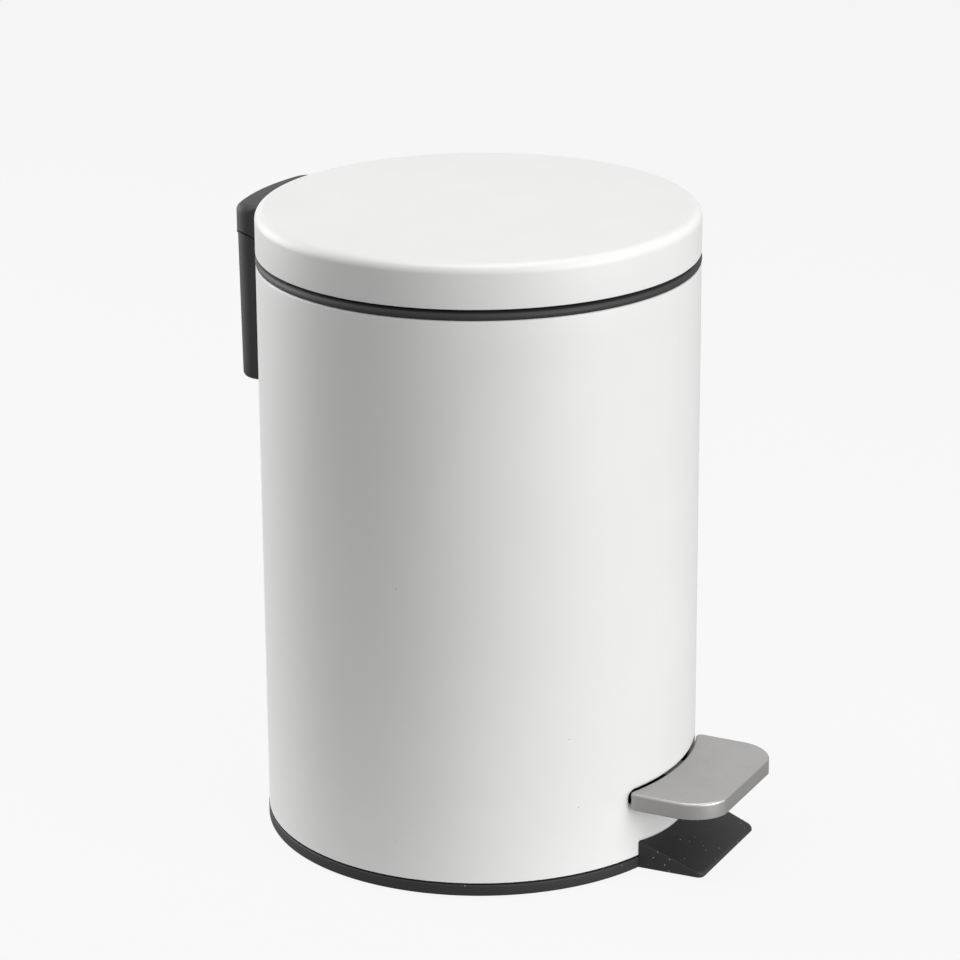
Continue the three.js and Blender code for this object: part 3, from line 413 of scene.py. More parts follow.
def rounded(corners: list[tuple[float, ...]], closed: bool = True, steps: int = 6) -> np.ndarray:
    """An outline through corners, each filleted by its third number where it has one.

    A fillet of radius r at a corner whose sides meet at an angle a starts r / tan(a / 2) away from
    the corner on each side, and its arc is drawn as a turn of the first side's normal.

    Args:
        corners: (x, y) or (x, y, radius) in order.
        closed: Whether the last corner joins the first.
        steps: Steps along each fillet.

    Returns:
        An array of points, two columns.
    """
    spots = np.array([corner[:2] for corner in corners], float)
    radii = [corner[2] if len(corner) > 2 else 0.0 for corner in corners]
    pieces = []
    for i, (spot, radius) in enumerate(zip(spots, radii)):
        at_end = not closed and i in (0, len(spots) - 1)
        if radius == 0 or at_end:
            pieces.append(spot[None])
            continue
        back = spots[i - 1] - spot
        on = spots[(i + 1) % len(spots)] - spot
        back, on = back / np.linalg.norm(back), on / np.linalg.norm(on)
        half = math.acos(np.clip(back @ on, -1, 1)) / 2
        bisector = (back + on) / np.linalg.norm(back + on)
        centre = spot + bisector * radius / math.sin(half)
        first = spot + back * radius / math.tan(half) - centre
        last = spot + on * radius / math.tan(half) - centre
        share = np.linspace(0, 1, steps + 1)[:, None]
        turn = math.pi - 2 * half
        weights = np.hstack([np.sin((1 - share) * turn), np.sin(share * turn)]) / math.sin(turn)
        pieces.append(centre + weights @ np.stack([first, last]))
    return np.concatenate(pieces)


def outward(points: np.ndarray) -> np.ndarray:
    """Mitre vectors of a closed counter-clockwise outline: a move by one offsets both its sides.

    With n1 and n2 the outward normals of the sides that meet, it is (n1 + n2) / (1 + n1 . n2).

    Args:
        points: The outline.

    Returns:
        One vector for each point.
    """
    side = np.roll(points, -1, 0) - points
    normal = np.stack([side[:, 1], -side[:, 0]], -1) / np.linalg.norm(side, axis=1)[:, None]
    before = np.roll(normal, 1, 0)
    return (before + normal) / (1 + (before * normal).sum(1))[:, None]


def with_crossings(points: np.ndarray, values: list[float], close: float = 0.12) -> np.ndarray:
    """Add a point to a closed outline wherever it crosses one of the given x values.

    Args:
        points: The outline.
        values: The x values.
        close: An old point nearer than this to a new one gives way to it.

    Returns:
        The outline with its new points.
    """
    fixed = np.zeros(len(points), bool)
    for value in values:
        after = np.roll(points, -1, 0)
        crosses = (points[:, 0] - value) * (after[:, 0] - value) < 0
        share = (value - points[crosses, 0]) / (after[crosses, 0] - points[crosses, 0])
        new = points[crosses] + share[:, None] * (after[crosses] - points[crosses])
        places = np.nonzero(crosses)[0] + 1
        points, fixed = np.insert(points, places, new, 0), np.insert(fixed, places, True)
    near = np.linalg.norm(np.roll(points, -1, 0) - points, axis=1) < close
    crowded = (near & np.roll(fixed, -1)) | (np.roll(near, 1) & np.roll(fixed, 1))
    return points[fixed | ~crowded]


def resample(points: np.ndarray, count: int) -> np.ndarray:
    """Spread a number of points evenly along an open line, by its length.

    Args:
        points: The line; all its columns are carried along, its length is that of all of them.
        count: How many points to spread.

    Returns:
        The new points, the line's two ends among them.
    """
    steps = np.linalg.norm(np.diff(points, axis=0), axis=1)
    along = np.concatenate([[0], np.cumsum(steps)])
    wanted = np.linspace(0, along[-1], count)
    return np.stack([np.interp(wanted, along, points[:, k]) for k in range(points.shape[1])], -1)


def raised(plan: np.ndarray, height: np.ndarray | float) -> np.ndarray:
    """Plan points with their height, or heights, beside them."""
    return np.column_stack([plan, np.broadcast_to(height, len(plan))])


def rectangle(x0: float, x1: float, y0: float, y1: float) -> np.ndarray:
    """The four corners of a rectangle, counter-clockwise."""
    return np.array([(x0, y0), (x1, y0), (x1, y1), (x0, y1)])


def rolled_edge(line: np.ndarray, edge: np.ndarray | float, steps: int,
                height: Callable[[np.ndarray], np.ndarray | float]) -> list[np.ndarray]:
    """Rows from a top over its rounded edge to the wall that stands on an outline.

    At angle p, from 0 to a quarter turn, a row is drawn in by edge (1 - sin p) along the outline's
    mitre vectors and lies edge (1 - cos p) under the top.

    Args:
        line: The outline.
        edge: Radius of the edge, one for all points or one for each.
        steps: Steps over the edge.
        height: Gives the top's height above plan points.

    Returns:
        The rows, each points by three.
    """
    out = outward(line)
    edge = np.broadcast_to(edge, len(line))
    rows = []
    for angle in np.linspace(0, math.pi / 2, steps + 1):
        plan = line - (edge * (1 - math.sin(angle)))[:, None] * out
        rows.append(raised(plan, height(plan) - edge * (1 - math.cos(angle))))
    return rows


class Skin:
    """Patches of polygons in millimetres that are welded into one mesh in metres."""

    def __init__(self) -> None:
        """Start with no patches."""
        self.points: list[np.ndarray] = []
        self.quads: list[np.ndarray] = []
        self.rims: list[np.ndarray] = []
        self.count = 0

    def grid(self, points: np.ndarray, wrap: bool = False, wrap_across: bool = False,
             keep: np.ndarray | None = None) -> "Skin":
        """Add a patch of quads over a grid of points.

        Args:
            points: Rows by columns by three.
            wrap: Whether the last column joins the first.
            wrap_across: Whether the last row joins the first.
            keep: Which cells are made, rows by columns of cells; all of them if left out.

        Returns:
            The skin itself.
        """
        rows, columns = points.shape[:2]
        i = np.arange(rows if wrap_across else rows - 1)[:, None]
        j = np.arange(columns if wrap else columns - 1)[None, :]
        below, beside = (i + 1) % rows, (j + 1) % columns
        corners = [i * columns + j, below * columns + j, below * columns + beside,
                   i * columns + beside]
        cells = np.stack(np.broadcast_arrays(*corners), -1)
        cells = cells[keep] if keep is not None else cells.reshape(-1, 4)
        self.quads.append(cells + self.count)
        self.points.append(points.reshape(-1, 3))
        self.count += rows * columns
        return self

    def face(self, points: np.ndarray) -> "Skin":
        """Close a flat outline with one polygon.

        Args:
            points: The outline, three columns.

        Returns:
            The skin itself.
        """
        self.rims.append(np.arange(len(points)) + self.count)
        self.points.append(points)
        self.count += len(points)
        return self

    def build(self, name: str) -> bpy.types.Object:
        """Weld equal points, drop what collapses, turn faces outwards and make the object.

        Args:
            name: The object's name.

        Returns:
            The object, linked to the scene, at the origin.
        """
        points = np.concatenate(self.points)
        _, first, index = np.unique(np.round(points, 5), axis=0, return_index=True,
                                    return_inverse=True)
        index = index.ravel()
        quads = index[np.concatenate(self.quads)]
        distinct = quads != np.roll(quads, -1, 1)
        distinct &= (distinct.sum(1) > 2)[:, None]
        corners = [quads[distinct], *(index[rim] for rim in self.rims)]
        sizes = distinct.sum(1)
        sizes = np.concatenate([sizes[sizes > 0], [len(rim) for rim in self.rims]]).astype(int)
        mesh = bpy.data.meshes.new(name)
        mesh.vertices.add(len(first))
        mesh.vertices.foreach_set("co", (points[first] * MM).ravel())
        mesh.loops.add(int(sizes.sum()))
        mesh.loops.foreach_set("vertex_index", np.concatenate(corners))
        mesh.polygons.add(len(sizes))
        mesh.polygons.foreach_set("loop_start", np.concatenate([[0], np.cumsum(sizes)[:-1]]))
        mesh.update(calc_edges=True)
        mesh.validate()
        work = bmesh.new()
        work.from_mesh(mesh)
        bmesh.ops.recalc_face_normals(work, faces=work.faces)
        work.to_mesh(mesh)
        work.free()
        piece = bpy.data.objects.new(name, mesh)
        bpy.context.scene.collection.objects.link(piece)
        return piece


def apply_modifiers(piece: bpy.types.Object) -> bpy.types.Object:
    """Replace a piece's mesh by what its modifiers make of it.

    Args:
        piece: The piece.

    Returns:
        The same piece, without modifiers.
    """
    graph = bpy.context.evaluated_depsgraph_get()
    mesh = bpy.data.meshes.new_from_object(piece.evaluated_get(graph))
    piece.modifiers.clear()
    piece.data = mesh
    return piece


def thicken(piece: bpy.types.Object, wall: float) -> bpy.types.Object:
    """Give a sheet a wall on its inner side.

    Args:
        piece: The sheet, its faces outwards.
        wall: Thickness in millimetres.

    Returns:
        The same piece.
    """
    modifier = piece.modifiers.new("wall", "SOLIDIFY")
    modifier.thickness = wall * MM
    modifier.offset = -1
    modifier.use_even_offset = True
    modifier.use_quality_normals = True
    return apply_modifiers(piece)


def combine(piece: bpy.types.Object, operation: str,
            tools: list[bpy.types.Object]) -> bpy.types.Object:
    """Join tools to a piece or cut them from it, and remove the tools.

    Args:
        piece: The piece.
        operation: UNION or DIFFERENCE.
        tools: Closed meshes.

    Returns:
        The same piece.
    """
    for tool in tools:
        modifier = piece.modifiers.new("combine", "BOOLEAN")
        modifier.operation = operation
        modifier.solver = "MANIFOLD"
        modifier.object = tool
        apply_modifiers(piece)
        bpy.data.objects.remove(tool)
    return piece


def turned(profile: np.ndarray, axis_y: float = 0.0, steps: int = AROUND) -> Skin:
    """Turn a closed (radius, z) profile about an upright axis.

    A point is (r sin a, axis_y - r cos a, z) for angles a all the way round.

    Args:
        profile: Points of the profile, its last joined to its first.
        axis_y: Where the axis stands.
        steps: Steps round the axis.

    Returns:
        The skin.
    """
    angle = np.linspace(0, 2 * math.pi, steps, endpoint=False)[None, :]
    radius, height = profile[:, :1], profile[:, 1:]
    grid = np.stack([radius * np.sin(angle), axis_y - radius * np.cos(angle),
                     np.broadcast_to(height, (len(profile), steps))], -1)
    return Skin().grid(grid, wrap=True, wrap_across=True)


def round_bar(name: str, start: tuple[float, float, float], end: tuple[float, float, float],
              radius: float, steps: int = 48, edge: float = 0.0) -> bpy.types.Object:
    """A round bar between two points, as a profile turned about Z and then placed.

    Args:
        name: The bar's name.
        start: The middle of one end.
        end: The middle of the other.
        radius: The bar's radius.
        steps: Steps round it.
        edge: Radius of its ends' edges; sharp if nought.

    Returns:
        The bar.
    """
    run = Vector(end) - Vector(start)
    if edge > 0:
        profile = rounded([(0, 0), (radius, 0, edge), (radius, run.length, edge), (0, run.length)],
                          steps=3)
    else:
        profile = np.array([(0, 0), (radius, 0), (radius, run.length), (0, run.length)], float)
    piece = turned(profile, steps=steps).build(name)
    turn = Vector((0, 0, 1)).rotation_difference(run).to_matrix().to_4x4()
    piece.data.transform(Matrix.Translation(Vector(start) * MM) @ turn)
    return piece


def radial_hole(node: str, axis_y: float, start: float, end: float,
                radius: float) -> bpy.types.Object:
    """A bar to cut with, straight out from the can's axis through a screw or rivet.

    Args:
        node: The screw or rivet.
        axis_y: Where the can's axis stands.
        start: Radius from the axis at which the bar starts.
        end: Radius from the axis at which it ends.
        radius: The bar's own radius.

    Returns:
        The bar.
    """
    spot = Place.of(node).middle
    way = Vector((spot[0], spot[1] - axis_y, 0)).normalized()
    axis = Vector((0, axis_y, spot[2]))
    return round_bar("hole", axis + way * start, axis + way * end, radius)


def prism(name: str, outline: np.ndarray, low: float, high: float) -> bpy.types.Object:
    """A plan outline raised from one height to another, with flat ends."""
    grid = np.stack([raised(outline, low), raised(outline, high)])
    return Skin().grid(grid, wrap=True).face(grid[0]).face(grid[1]).build(name)


def boss(start: tuple[float, float, float], end: tuple[float, float, float], radius: float,
         bore_start: tuple[float, float, float], bore_end: tuple[float, float, float],
         bore: float) -> bpy.types.Object:
    """A round post with softened ends and a round bore.

    Args:
        start: The middle of one end.
        end: The middle of the other.
        radius: The post's radius.
        bore_start: Where the bore starts.
        bore_end: Where it ends.
        bore: The bore's radius.

    Returns:
        The post.
    """
    post = round_bar("boss", start, end, radius, edge=0.3)
    return combine(post, "DIFFERENCE", [round_bar("bore", bore_start, bore_end, bore)])


def lug(sides: tuple[float, float], y: float, z: float, radius: float, stem_half: float,
        stem: tuple[float, float], bore: float) -> bpy.types.Object:
    """A flat lug across X: a round nose on a square stem, with a bore through the nose.

    Args:
        sides: Its two faces along X, in either order.
        y: Middle of the nose along Y.
        z: Middle of the nose along Z.
        radius: Radius of the nose.
        stem_half: Half the stem's width along Y.
        stem: The stem's lowest and highest point.
        bore: The bore's radius.

    Returns:
        The lug.
    """
    x0, x1 = sorted(sides)
    nose = round_bar("lug", (x0, y, z), (x1, y, z), radius)
    outline = rectangle(x0, x1, y - stem_half, y + stem_half)
    combine(nose, "UNION", [prism("stem", outline, *stem)])
    return combine(nose, "DIFFERENCE", [round_bar("bore", (x0 - CUT, y, z), (x1 + CUT, y, z),
                                                  bore)])


def pad(node: str, profile: np.ndarray, steps: int) -> bpy.types.Object:
    """A turned pad, stood where the node is that it stands for.

    Args:
        node: The node.
        profile: Points (radius, z) of the pad's outline.
        steps: Steps round it.

    Returns:
        The pad.
    """
    piece = turned(profile, steps=steps).build(node + "_pad")
    piece.data.transform(Matrix.Translation(Vector((*Place.of(node).middle[:2], 0)) * MM))
    return piece


def wire(name: str, path: np.ndarray, radius: float, flat: tuple[float, float, float],
         sides: int = 20) -> bpy.types.Object:
    """Carry a circle along a path that lies in a plane, with chamfered ends.

    At each point the circle is path + radius (cos a n + sin a b), with b the plane's normal and n
    the path's direction crossed with b.

    Args:
        name: The piece's name.
        path: Points of the path in millimetres.
        radius: Radius of the wire.
        flat: Normal of the plane that the path lies in.
        sides: Sides of the circle.

    Returns:
        The piece.
    """
    along = np.gradient(path, axis=0)
    along /= np.linalg.norm(along, axis=1)[:, None]
    up = np.array(flat, float)
    across = np.cross(along, up)
    chamfer = radius / 3
    path = np.vstack([path[0], path[0], path[0] + along[0] * chamfer, path[1:-1],
                      path[-1] - along[-1] * chamfer, path[-1], path[-1]])
    across = np.vstack([across[0], across[0], across, across[-1], across[-1]])
    radii = np.full(len(path), radius)
    radii[[0, -1]] = 0
    radii[[1, -2]] = radius - chamfer
    angle = np.linspace(0, 2 * math.pi, sides, endpoint=False)[None, :, None]
    ring = np.cos(angle) * across[:, None] + np.sin(angle) * up
    return Skin().grid(path[:, None] + radii[:, None, None] * ring, wrap=True).build(name)


def dress(piece: bpy.types.Object, finishes: Finishes, body: BodyName, slot: SlotName,
          node: str, material: bpy.types.Material | None = None) -> None:
    """Shade, paint and place a finished piece, and hide the frame node that it stands for.

    Args:
        piece: The piece, at the origin.
        finishes: The object's materials.
        body: The body that it rides on.
        slot: The record's slot that it takes its finish from.
        node: The frame node that it stands for.
        material: A material to show in place of the slot's own.
    """
    piece.data.materials.clear()
    piece.data.materials.append(material or finishes.of[slot])
    piece.data.shade_smooth()
    piece.data.set_sharp_from_angle(angle=math.radians(SHARP_DEGREES))
    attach(piece, body.value)
    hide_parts(node)
    log.info("%s: %d faces on %s", piece.name, len(piece.data.polygons), body.value)


# ---- Body ----------------------------------------------------------------------------------------


@dataclass
class Body:
    """The steel body with its rolled pedal slot, the plastic ring on top and its bumpers."""

    finishes: Finishes
    sheet: float = 0.7
    curl_depth: float = 0.6
    curl_height: float = 0.9
    curl_steps: int = 6
    lip_radius: float = 2.2
    lip_flange: float = 0.3
    lip_steps: int = 7
    slot_half: float = 30.8
    slot_low: float = 27.4
    slot_high: float = 33.3
    slot_corner: float = 2.8
    leg_half: float = 9.5
    leg_low: float = 20.3
    leg_corner: float = 3.6
    patch_margin: float = 9.0
    patch_columns: int = 96
    patch_rows: int = 26
    patch_rings: int = 6
    patch_bias: float = 1.3
    notch_half: float = 12.0
    way_depth: float = 12.0
    notch_low: float = 205.5
    notch_columns: int = 7
    notch_rows: int = 3
    wall_rows: int = 11
    seam_width: float = 0.55
    seam_height: float = 0.1
    seam_reach: float = 4.0
    seam_columns: int = 16
    ledge_width: float = 4.6
    ledge_drop: float = 2.4
    ledge_thick: float = 2.2
    ring_wall: float = 4.3
    skirt_wall: float = 1.8
    bead_bulge: float = 0.35
    hole: float = 1.55

    def __post_init__(self) -> None:
        """Read the body's places from the frame."""
        shell = Place.of("body_shell")
        self.axis_y = shell.middle[1]
        self.radius = shell.size[0] / 2
        self.low, self.high = shell.low[2], shell.high[2]

    def slot_line(self) -> np.ndarray:
        """Outline of the pedal's slot on the unrolled sheet: a wide slot over a narrow leg.

        Returns:
            Points (arc length, z), counter-clockwise.
        """
        half = self.radius * math.asin(self.slot_half / self.radius)
        leg = self.radius * math.asin(self.leg_half / self.radius)
        corner, inner = self.slot_corner, self.leg_corner
        return rounded([
            (half, self.slot_high, corner), (-half, self.slot_high, corner),
            (-half, self.slot_low, corner), (-leg, self.slot_low, inner),
            (-leg, self.leg_low, corner), (leg, self.leg_low, corner),
            (leg, self.slot_low, inner), (half, self.slot_low, corner)], steps=12)

    def on_can(self, line: np.ndarray, depth: np.ndarray | float) -> np.ndarray:
        """Wrap unrolled points onto the can: an arc length s stands at the angle s / radius.

        Args:
            line: Points (arc length, z).
            depth: How far under the can's surface they lie.

        Returns:
            The points in space.
        """
        angle = line[..., 0] / self.radius
        radius = self.radius - depth
        return np.stack([radius * np.sin(angle), self.axis_y - radius * np.cos(angle),
                         line[..., 1]], -1)

    def slot_patch(self, border: np.ndarray, corners: list[int]) -> np.ndarray:
        """Rings of points from a rectangular border in to the slot's rolled lip.

        The lip turns a quarter circle of the lip's radius r: at angle p its offset from the slot's
        edge is r (1 - sin p) and its depth r (1 - cos p). A flange then goes straight in.

        Args:
            border: Nodes of the rectangle, (arc length, z), from its top right corner round.
            corners: Where the rectangle's four corners are among the nodes.

        Returns:
            Rings by nodes by three.
        """
        line = self.slot_line()
        out = outward(line)
        half = self.radius * math.asin(self.slot_half / self.radius)
        keys = [(half, self.slot_high), (-half, self.slot_high), (-half, self.slot_low),
                (half, self.slot_low)]
        nearest = [int(np.argmin(np.linalg.norm(line - key, axis=1))) for key in keys]
        both = np.roll(np.hstack([line, out]), -nearest[0], 0)
        both = np.vstack([both, both[:1]])
        splits = [(i - nearest[0]) % len(line) for i in nearest] + [len(line)]
        counts = np.diff([*corners, len(border)]) + 1
        parts = [resample(both[a:b + 1], n)[:-1]
                 for a, b, n in zip(splits[:-1], splits[1:], counts)]
        edge, normal = np.split(np.vstack(parts), 2, axis=1)
        start = edge + self.lip_radius * normal
        share = np.linspace(0, 1, self.patch_rings + 1)[:, None, None] ** self.patch_bias
        blend = border * (1 - share) + start * share
        rings = [self.on_can(blend, 0.0)]
        turn = np.linspace(0, math.pi / 2, self.lip_steps + 1)[1:]
        offsets = [*(self.lip_radius * (1 - np.sin(turn))), 0.0]
        depths = [*(self.lip_radius * (1 - np.cos(turn))), self.lip_radius + self.lip_flange]
        rings += [self.on_can(edge + offset * normal, depth)[None]
                  for offset, depth in zip(offsets, depths)]
        return np.concatenate(rings)

    def shell(self) -> bpy.types.Object:
        """The rolled sheet: a grid round the can, a rolled top edge, a slot and a rear notch.

        The top edge turns in on a quarter ellipse. The weld seam behind stands out by a bell curve
        of the distance from it.

        Returns:
            The piece.
        """
        reach = self.slot_half + self.patch_margin
        front = self.radius * math.asin(reach / self.radius)
        rear = self.radius * math.asin(self.notch_half / self.radius)
        full = 2 * math.pi * self.radius
        seam = self.seam_reach * self.seam_width
        side = np.linspace(front, full / 2 - rear, AROUND // 2 - self.patch_columns // 2)
        back = np.concatenate([
            np.linspace(full / 2 - rear, full / 2 - seam, self.notch_columns + 1)[1:],
            np.linspace(full / 2 - seam, full / 2 + seam, self.seam_columns + 1)[1:],
            np.linspace(full / 2 + seam, full / 2 + rear, self.notch_columns + 1)[1:]])
        columns = np.concatenate([np.linspace(-front, front, self.patch_columns + 1), side[1:],
                                  back, full - side[::-1][1:-1]])
        patch_low, patch_high = self.leg_low - self.patch_margin, self.slot_high + self.patch_margin
        turn = np.linspace(0, math.pi / 2, self.curl_steps + 1)
        flat = self.high - self.curl_height
        rows = np.concatenate([
            [self.low], np.linspace(patch_low, patch_high, self.patch_rows + 1),
            np.linspace(patch_high, self.notch_low, self.wall_rows + 1)[1:],
            np.linspace(self.notch_low, flat, self.notch_rows + 1)[1:-1],
            flat + self.curl_height * np.sin(turn)])
        depth = np.concatenate([np.zeros(len(rows) - len(turn)),
                                self.curl_depth * (1 - np.cos(turn))])
        line = np.stack(np.meshgrid(columns, rows), -1)
        from_seam = (line[..., 0] - full / 2) / self.seam_width
        ridge = self.seam_height * np.exp(-from_seam ** 2)
        grid = self.on_can(line, depth[:, None] - ridge)
        middle_s = (columns + np.append(columns[1:], full - front)) / 2
        middle_z = (rows[:-1] + rows[1:])[:, None] / 2
        in_slot = (np.abs(middle_s) < front) & (middle_z > patch_low) & (middle_z < patch_high)
        in_notch = (np.abs(middle_s - full / 2) < rear) & (middle_z > self.notch_low)
        skin = Skin().grid(grid, wrap=True, keep=~(in_slot | in_notch))
        top = np.stack([columns[:self.patch_columns + 1][::-1],
                        np.full(self.patch_columns + 1, patch_high)], -1)
        down = np.stack([np.full(self.patch_rows + 1, -front),
                         rows[1:self.patch_rows + 2][::-1]], -1)
        bottom = top[::-1] * [1, 0] + [0, patch_low]
        up = down[::-1] * [-1, 1]
        border = np.vstack([side_line[:-1] for side_line in (top, down, bottom, up)])
        n, m = self.patch_columns, self.patch_rows
        rings = self.slot_patch(border, [0, n, n + m, 2 * n + m])
        skin.grid(rings, wrap=True)
        piece = thicken(skin.build("body_shell_skin"), self.sheet)
        nodes = ("cover_screw_left", "cover_screw_right", "bracket_rivet_left",
                 "bracket_rivet_right", "guide_rivet")
        holes = [radial_hole(node, self.axis_y, self.radius - 3 * CUT, self.radius + 3 * CUT,
                             self.hole) for node in nodes]
        return combine(piece, "DIFFERENCE", holes)

    def ring(self) -> bpy.types.Object:
        """The plastic ring: a rounded bead on the body's edge, a ledge for the bucket and a skirt.

        It is a turned profile, with a way cut for the rod and a well for each bumper.

        Returns:
            The piece.
        """
        box = Place.of("top_ring")
        outer, top = box.size[0] / 2, box.high[2]
        bead_low = self.high + CLEAR
        skirt = self.radius - self.curl_depth - self.sheet - CLEAR
        inner = outer - self.ring_wall
        bead_middle = (top + bead_low) / 2
        drop = top - self.ledge_drop
        profile = rounded([
            (skirt, box.low[2], 0.4), (skirt, bead_low, 0.15),
            (outer - self.bead_bulge, bead_low, 0.5),
            (outer, bead_middle - 0.3, 2.0), (outer - 0.6, top - 0.7, 0.8),
            (outer - 1.7, top, 0.8), (inner, top, 0.5),
            (inner, drop, 0.5), (inner - self.ledge_width, drop, 0.5),
            (inner - self.ledge_width, drop - self.ledge_thick, 0.5),
            (skirt - self.skirt_wall, drop - self.ledge_thick, 0.6),
            (skirt - self.skirt_wall, box.low[2], 0.4)])
        piece = turned(profile, self.axis_y).build("top_ring_moulding")
        rear = self.axis_y + self.radius
        way = rectangle(-self.notch_half, self.notch_half, rear - self.way_depth, rear + 3 * CUT)
        notch = prism("way", way, self.notch_low, drop + CLEAR)
        wells = []
        for bumper in BUMPERS:
            spot = Place.of(bumper)
            wells.append(round_bar("well", (*spot.middle[:2], spot.low[2] - CLEAR),
                                   (*spot.middle[:2], top + CUT), spot.size[0] / 2 + CLEAR))
        return combine(piece, "DIFFERENCE", [notch, *wells])

    def bumper(self, node: str) -> bpy.types.Object:
        """A small round rubber bumper with a domed top.

        Args:
            node: The bumper's node.

        Returns:
            The piece.
        """
        spot = Place.of(node)
        radius = spot.size[0] / 2
        profile = rounded([(0, spot.low[2]), (radius, spot.low[2], 0.2),
                           (radius, spot.high[2], 0.7), (0, spot.high[2])])
        return pad(node, profile, 40)

    def make(self) -> None:
        """Build and dress the body's pieces."""
        look = self.finishes
        dress(self.shell(), look, BodyName.CAN, SlotName.WHITE_COAT, "body_shell")
        dress(self.ring(), look, BodyName.CAN, SlotName.BLACK_PLASTIC, "top_ring")
        for node in BUMPERS:
            dress(self.bumper(node), look, BodyName.CAN, SlotName.RUBBER, node)


# ---- Base ----------------------------------------------------------------------------------------


@dataclass
class Base:
    """The moulded base with its toe guard, the deck over it and the rubber feet."""

    finishes: Finishes
    rim_width: float = 4.8
    rim_top: float = 5.1
    rim_soft: float = 0.5
    floor_low: float = 2.0
    floor_thick: float = 2.0
    upstand_top: float = 16.0
    upstand_wall: float = 2.2
    upstand_inset: float = 1.0
    guard_rear_half: float = 26.7
    guard_front_half: float = 25.5
    guard_rear_top: float = 10.4
    guard_front_top: float = 2.3
    guard_corner: float = 2.8
    guard_edge: float = 0.9
    guard_foot: float = 0.5
    guard_wall: float = 1.8
    body_space_top: float = 40.0
    overlap: float = 0.01
    root: float = 0.5
    post_radius: float = 4.0
    pilot_depth: float = 14.0
    screw_hole: float = 1.5
    ear_half: float = 6.7
    ear_thick: float = 3.0
    axle_bore: float = 2.8
    rod_room_half: float = 12.0
    rod_room_front: float = 5.0
    rod_room_depth: float = 30.0

    def __post_init__(self) -> None:
        """Read the base's places from the frame."""
        shell, box = Place.of("body_shell"), Place.of("base")
        self.axis_y = shell.middle[1]
        self.radius = shell.size[0] / 2
        self.outer = box.size[0] / 2
        self.low = box.low[2]
        self.reach = self.axis_y - box.low[1]
        self.front_y = box.low[1]

    def guard_top(self, y: np.ndarray) -> np.ndarray:
        """Height of the toe guard's slope at places along Y: straight from its front edge up.

        Args:
            y: The places.

        Returns:
            Their heights.
        """
        run = self.reach - self.radius
        slope = (self.guard_rear_top - self.guard_front_top) / run
        return self.guard_front_top + (y - self.front_y) * slope

    def guard(self, wall: float) -> bpy.types.Object:
        """The toe guard's wedge, or the hollow under it, which is the same wedge in by a wall.

        Rows go from the slope's outline out over a rounded edge, and then down the sides.

        Args:
            wall: Nought for the wedge, or the wall that the hollow leaves.

        Returns:
            The closed piece.
        """
        rear_y = self.axis_y - self.outer + self.rim_width
        front = self.front_y + wall
        rear_half, front_half = self.guard_rear_half - wall, self.guard_front_half - wall
        corner = self.guard_corner - wall / 2
        line = rounded([(-rear_half, rear_y), (-front_half, front, corner),
                        (front_half, front, corner), (rear_half, rear_y)], steps=10)
        edge = self.guard_edge if wall == 0 else 0.3
        low = self.low if wall == 0 else self.low - CUT
        foot = self.guard_foot if wall == 0 else 0.0
        rows = rolled_edge(line, edge, 5, lambda plan: self.guard_top(plan[:, 1]) - wall)
        rows.append(raised(line, low + foot))
        rows.append(raised(line - foot * outward(line), low))
        grid = np.stack(rows)
        skin = Skin().grid(grid, wrap=True).face(grid[0]).face(grid[-1])
        return skin.build("guard")

    def moulding(self) -> bpy.types.Object:
        """The base: a dish turned about the axis, joined to the toe guard, posts and axle ears.

        Returns:
            The piece.
        """
        soft, floor_top = self.rim_soft, self.floor_low + self.floor_thick
        inner = self.outer - self.rim_width
        up_outer = self.radius - self.upstand_inset
        up_inner = up_outer - self.upstand_wall
        profile = rounded([
            (0, self.floor_low), (inner, self.floor_low, 0.4), (inner, self.low, 0.4),
            (self.outer, self.low, 0.7), (self.outer, self.rim_top, soft),
            (up_outer, self.rim_top, 0.2), (up_outer, self.upstand_top, 0.4),
            (up_inner, self.upstand_top, 0.4), (up_inner, floor_top, 0.6), (0, floor_top)])
        dish = turned(profile, self.axis_y).build("base_moulding")
        whole, hollow = self.guard(0.0), self.guard(self.guard_wall)
        rim = round_bar("rim", (0, self.axis_y, -CUT), (0, self.axis_y, self.rim_top),
                        self.outer, AROUND)
        combine(hollow, "DIFFERENCE", [rim])
        body_space = round_bar("space", (0, self.axis_y, self.rim_top - self.overlap),
                               (0, self.axis_y, self.body_space_top), self.radius + CLEAR,
                               AROUND)
        combine(whole, "DIFFERENCE", [hollow, body_space])
        return combine(dish, "UNION", [whole, *self.posts(), *self.ears()])

    def posts(self) -> list[bpy.types.Object]:
        """Four posts under the deck, one beneath each of its screws.

        Returns:
            The posts.
        """
        top = Place.of("floor_deck").low[2] - CLEAR
        posts = []
        for screw in DECK_SCREWS:
            x, y, _ = Place.of(screw).middle
            posts.append(boss((x, y, self.floor_low + self.root), (x, y, top), self.post_radius,
                              (x, y, top - self.pilot_depth), (x, y, top + CUT),
                              self.screw_hole))
        return posts

    def ears(self) -> list[bpy.types.Object]:
        """Two ears that hold the pedal's axle, with their bores.

        Returns:
            The ears.
        """
        axle, lever = Place.of("pedal_axle").middle, Place.of("pedal_lever")
        inside = lever.high[0] + CLEAR
        return [lug((side * inside, side * (inside + self.ear_thick)), axle[1], axle[2],
                    self.ear_half, self.ear_half, (self.floor_low + self.root, axle[2]),
                    self.axle_bore) for side in (-1, 1)]

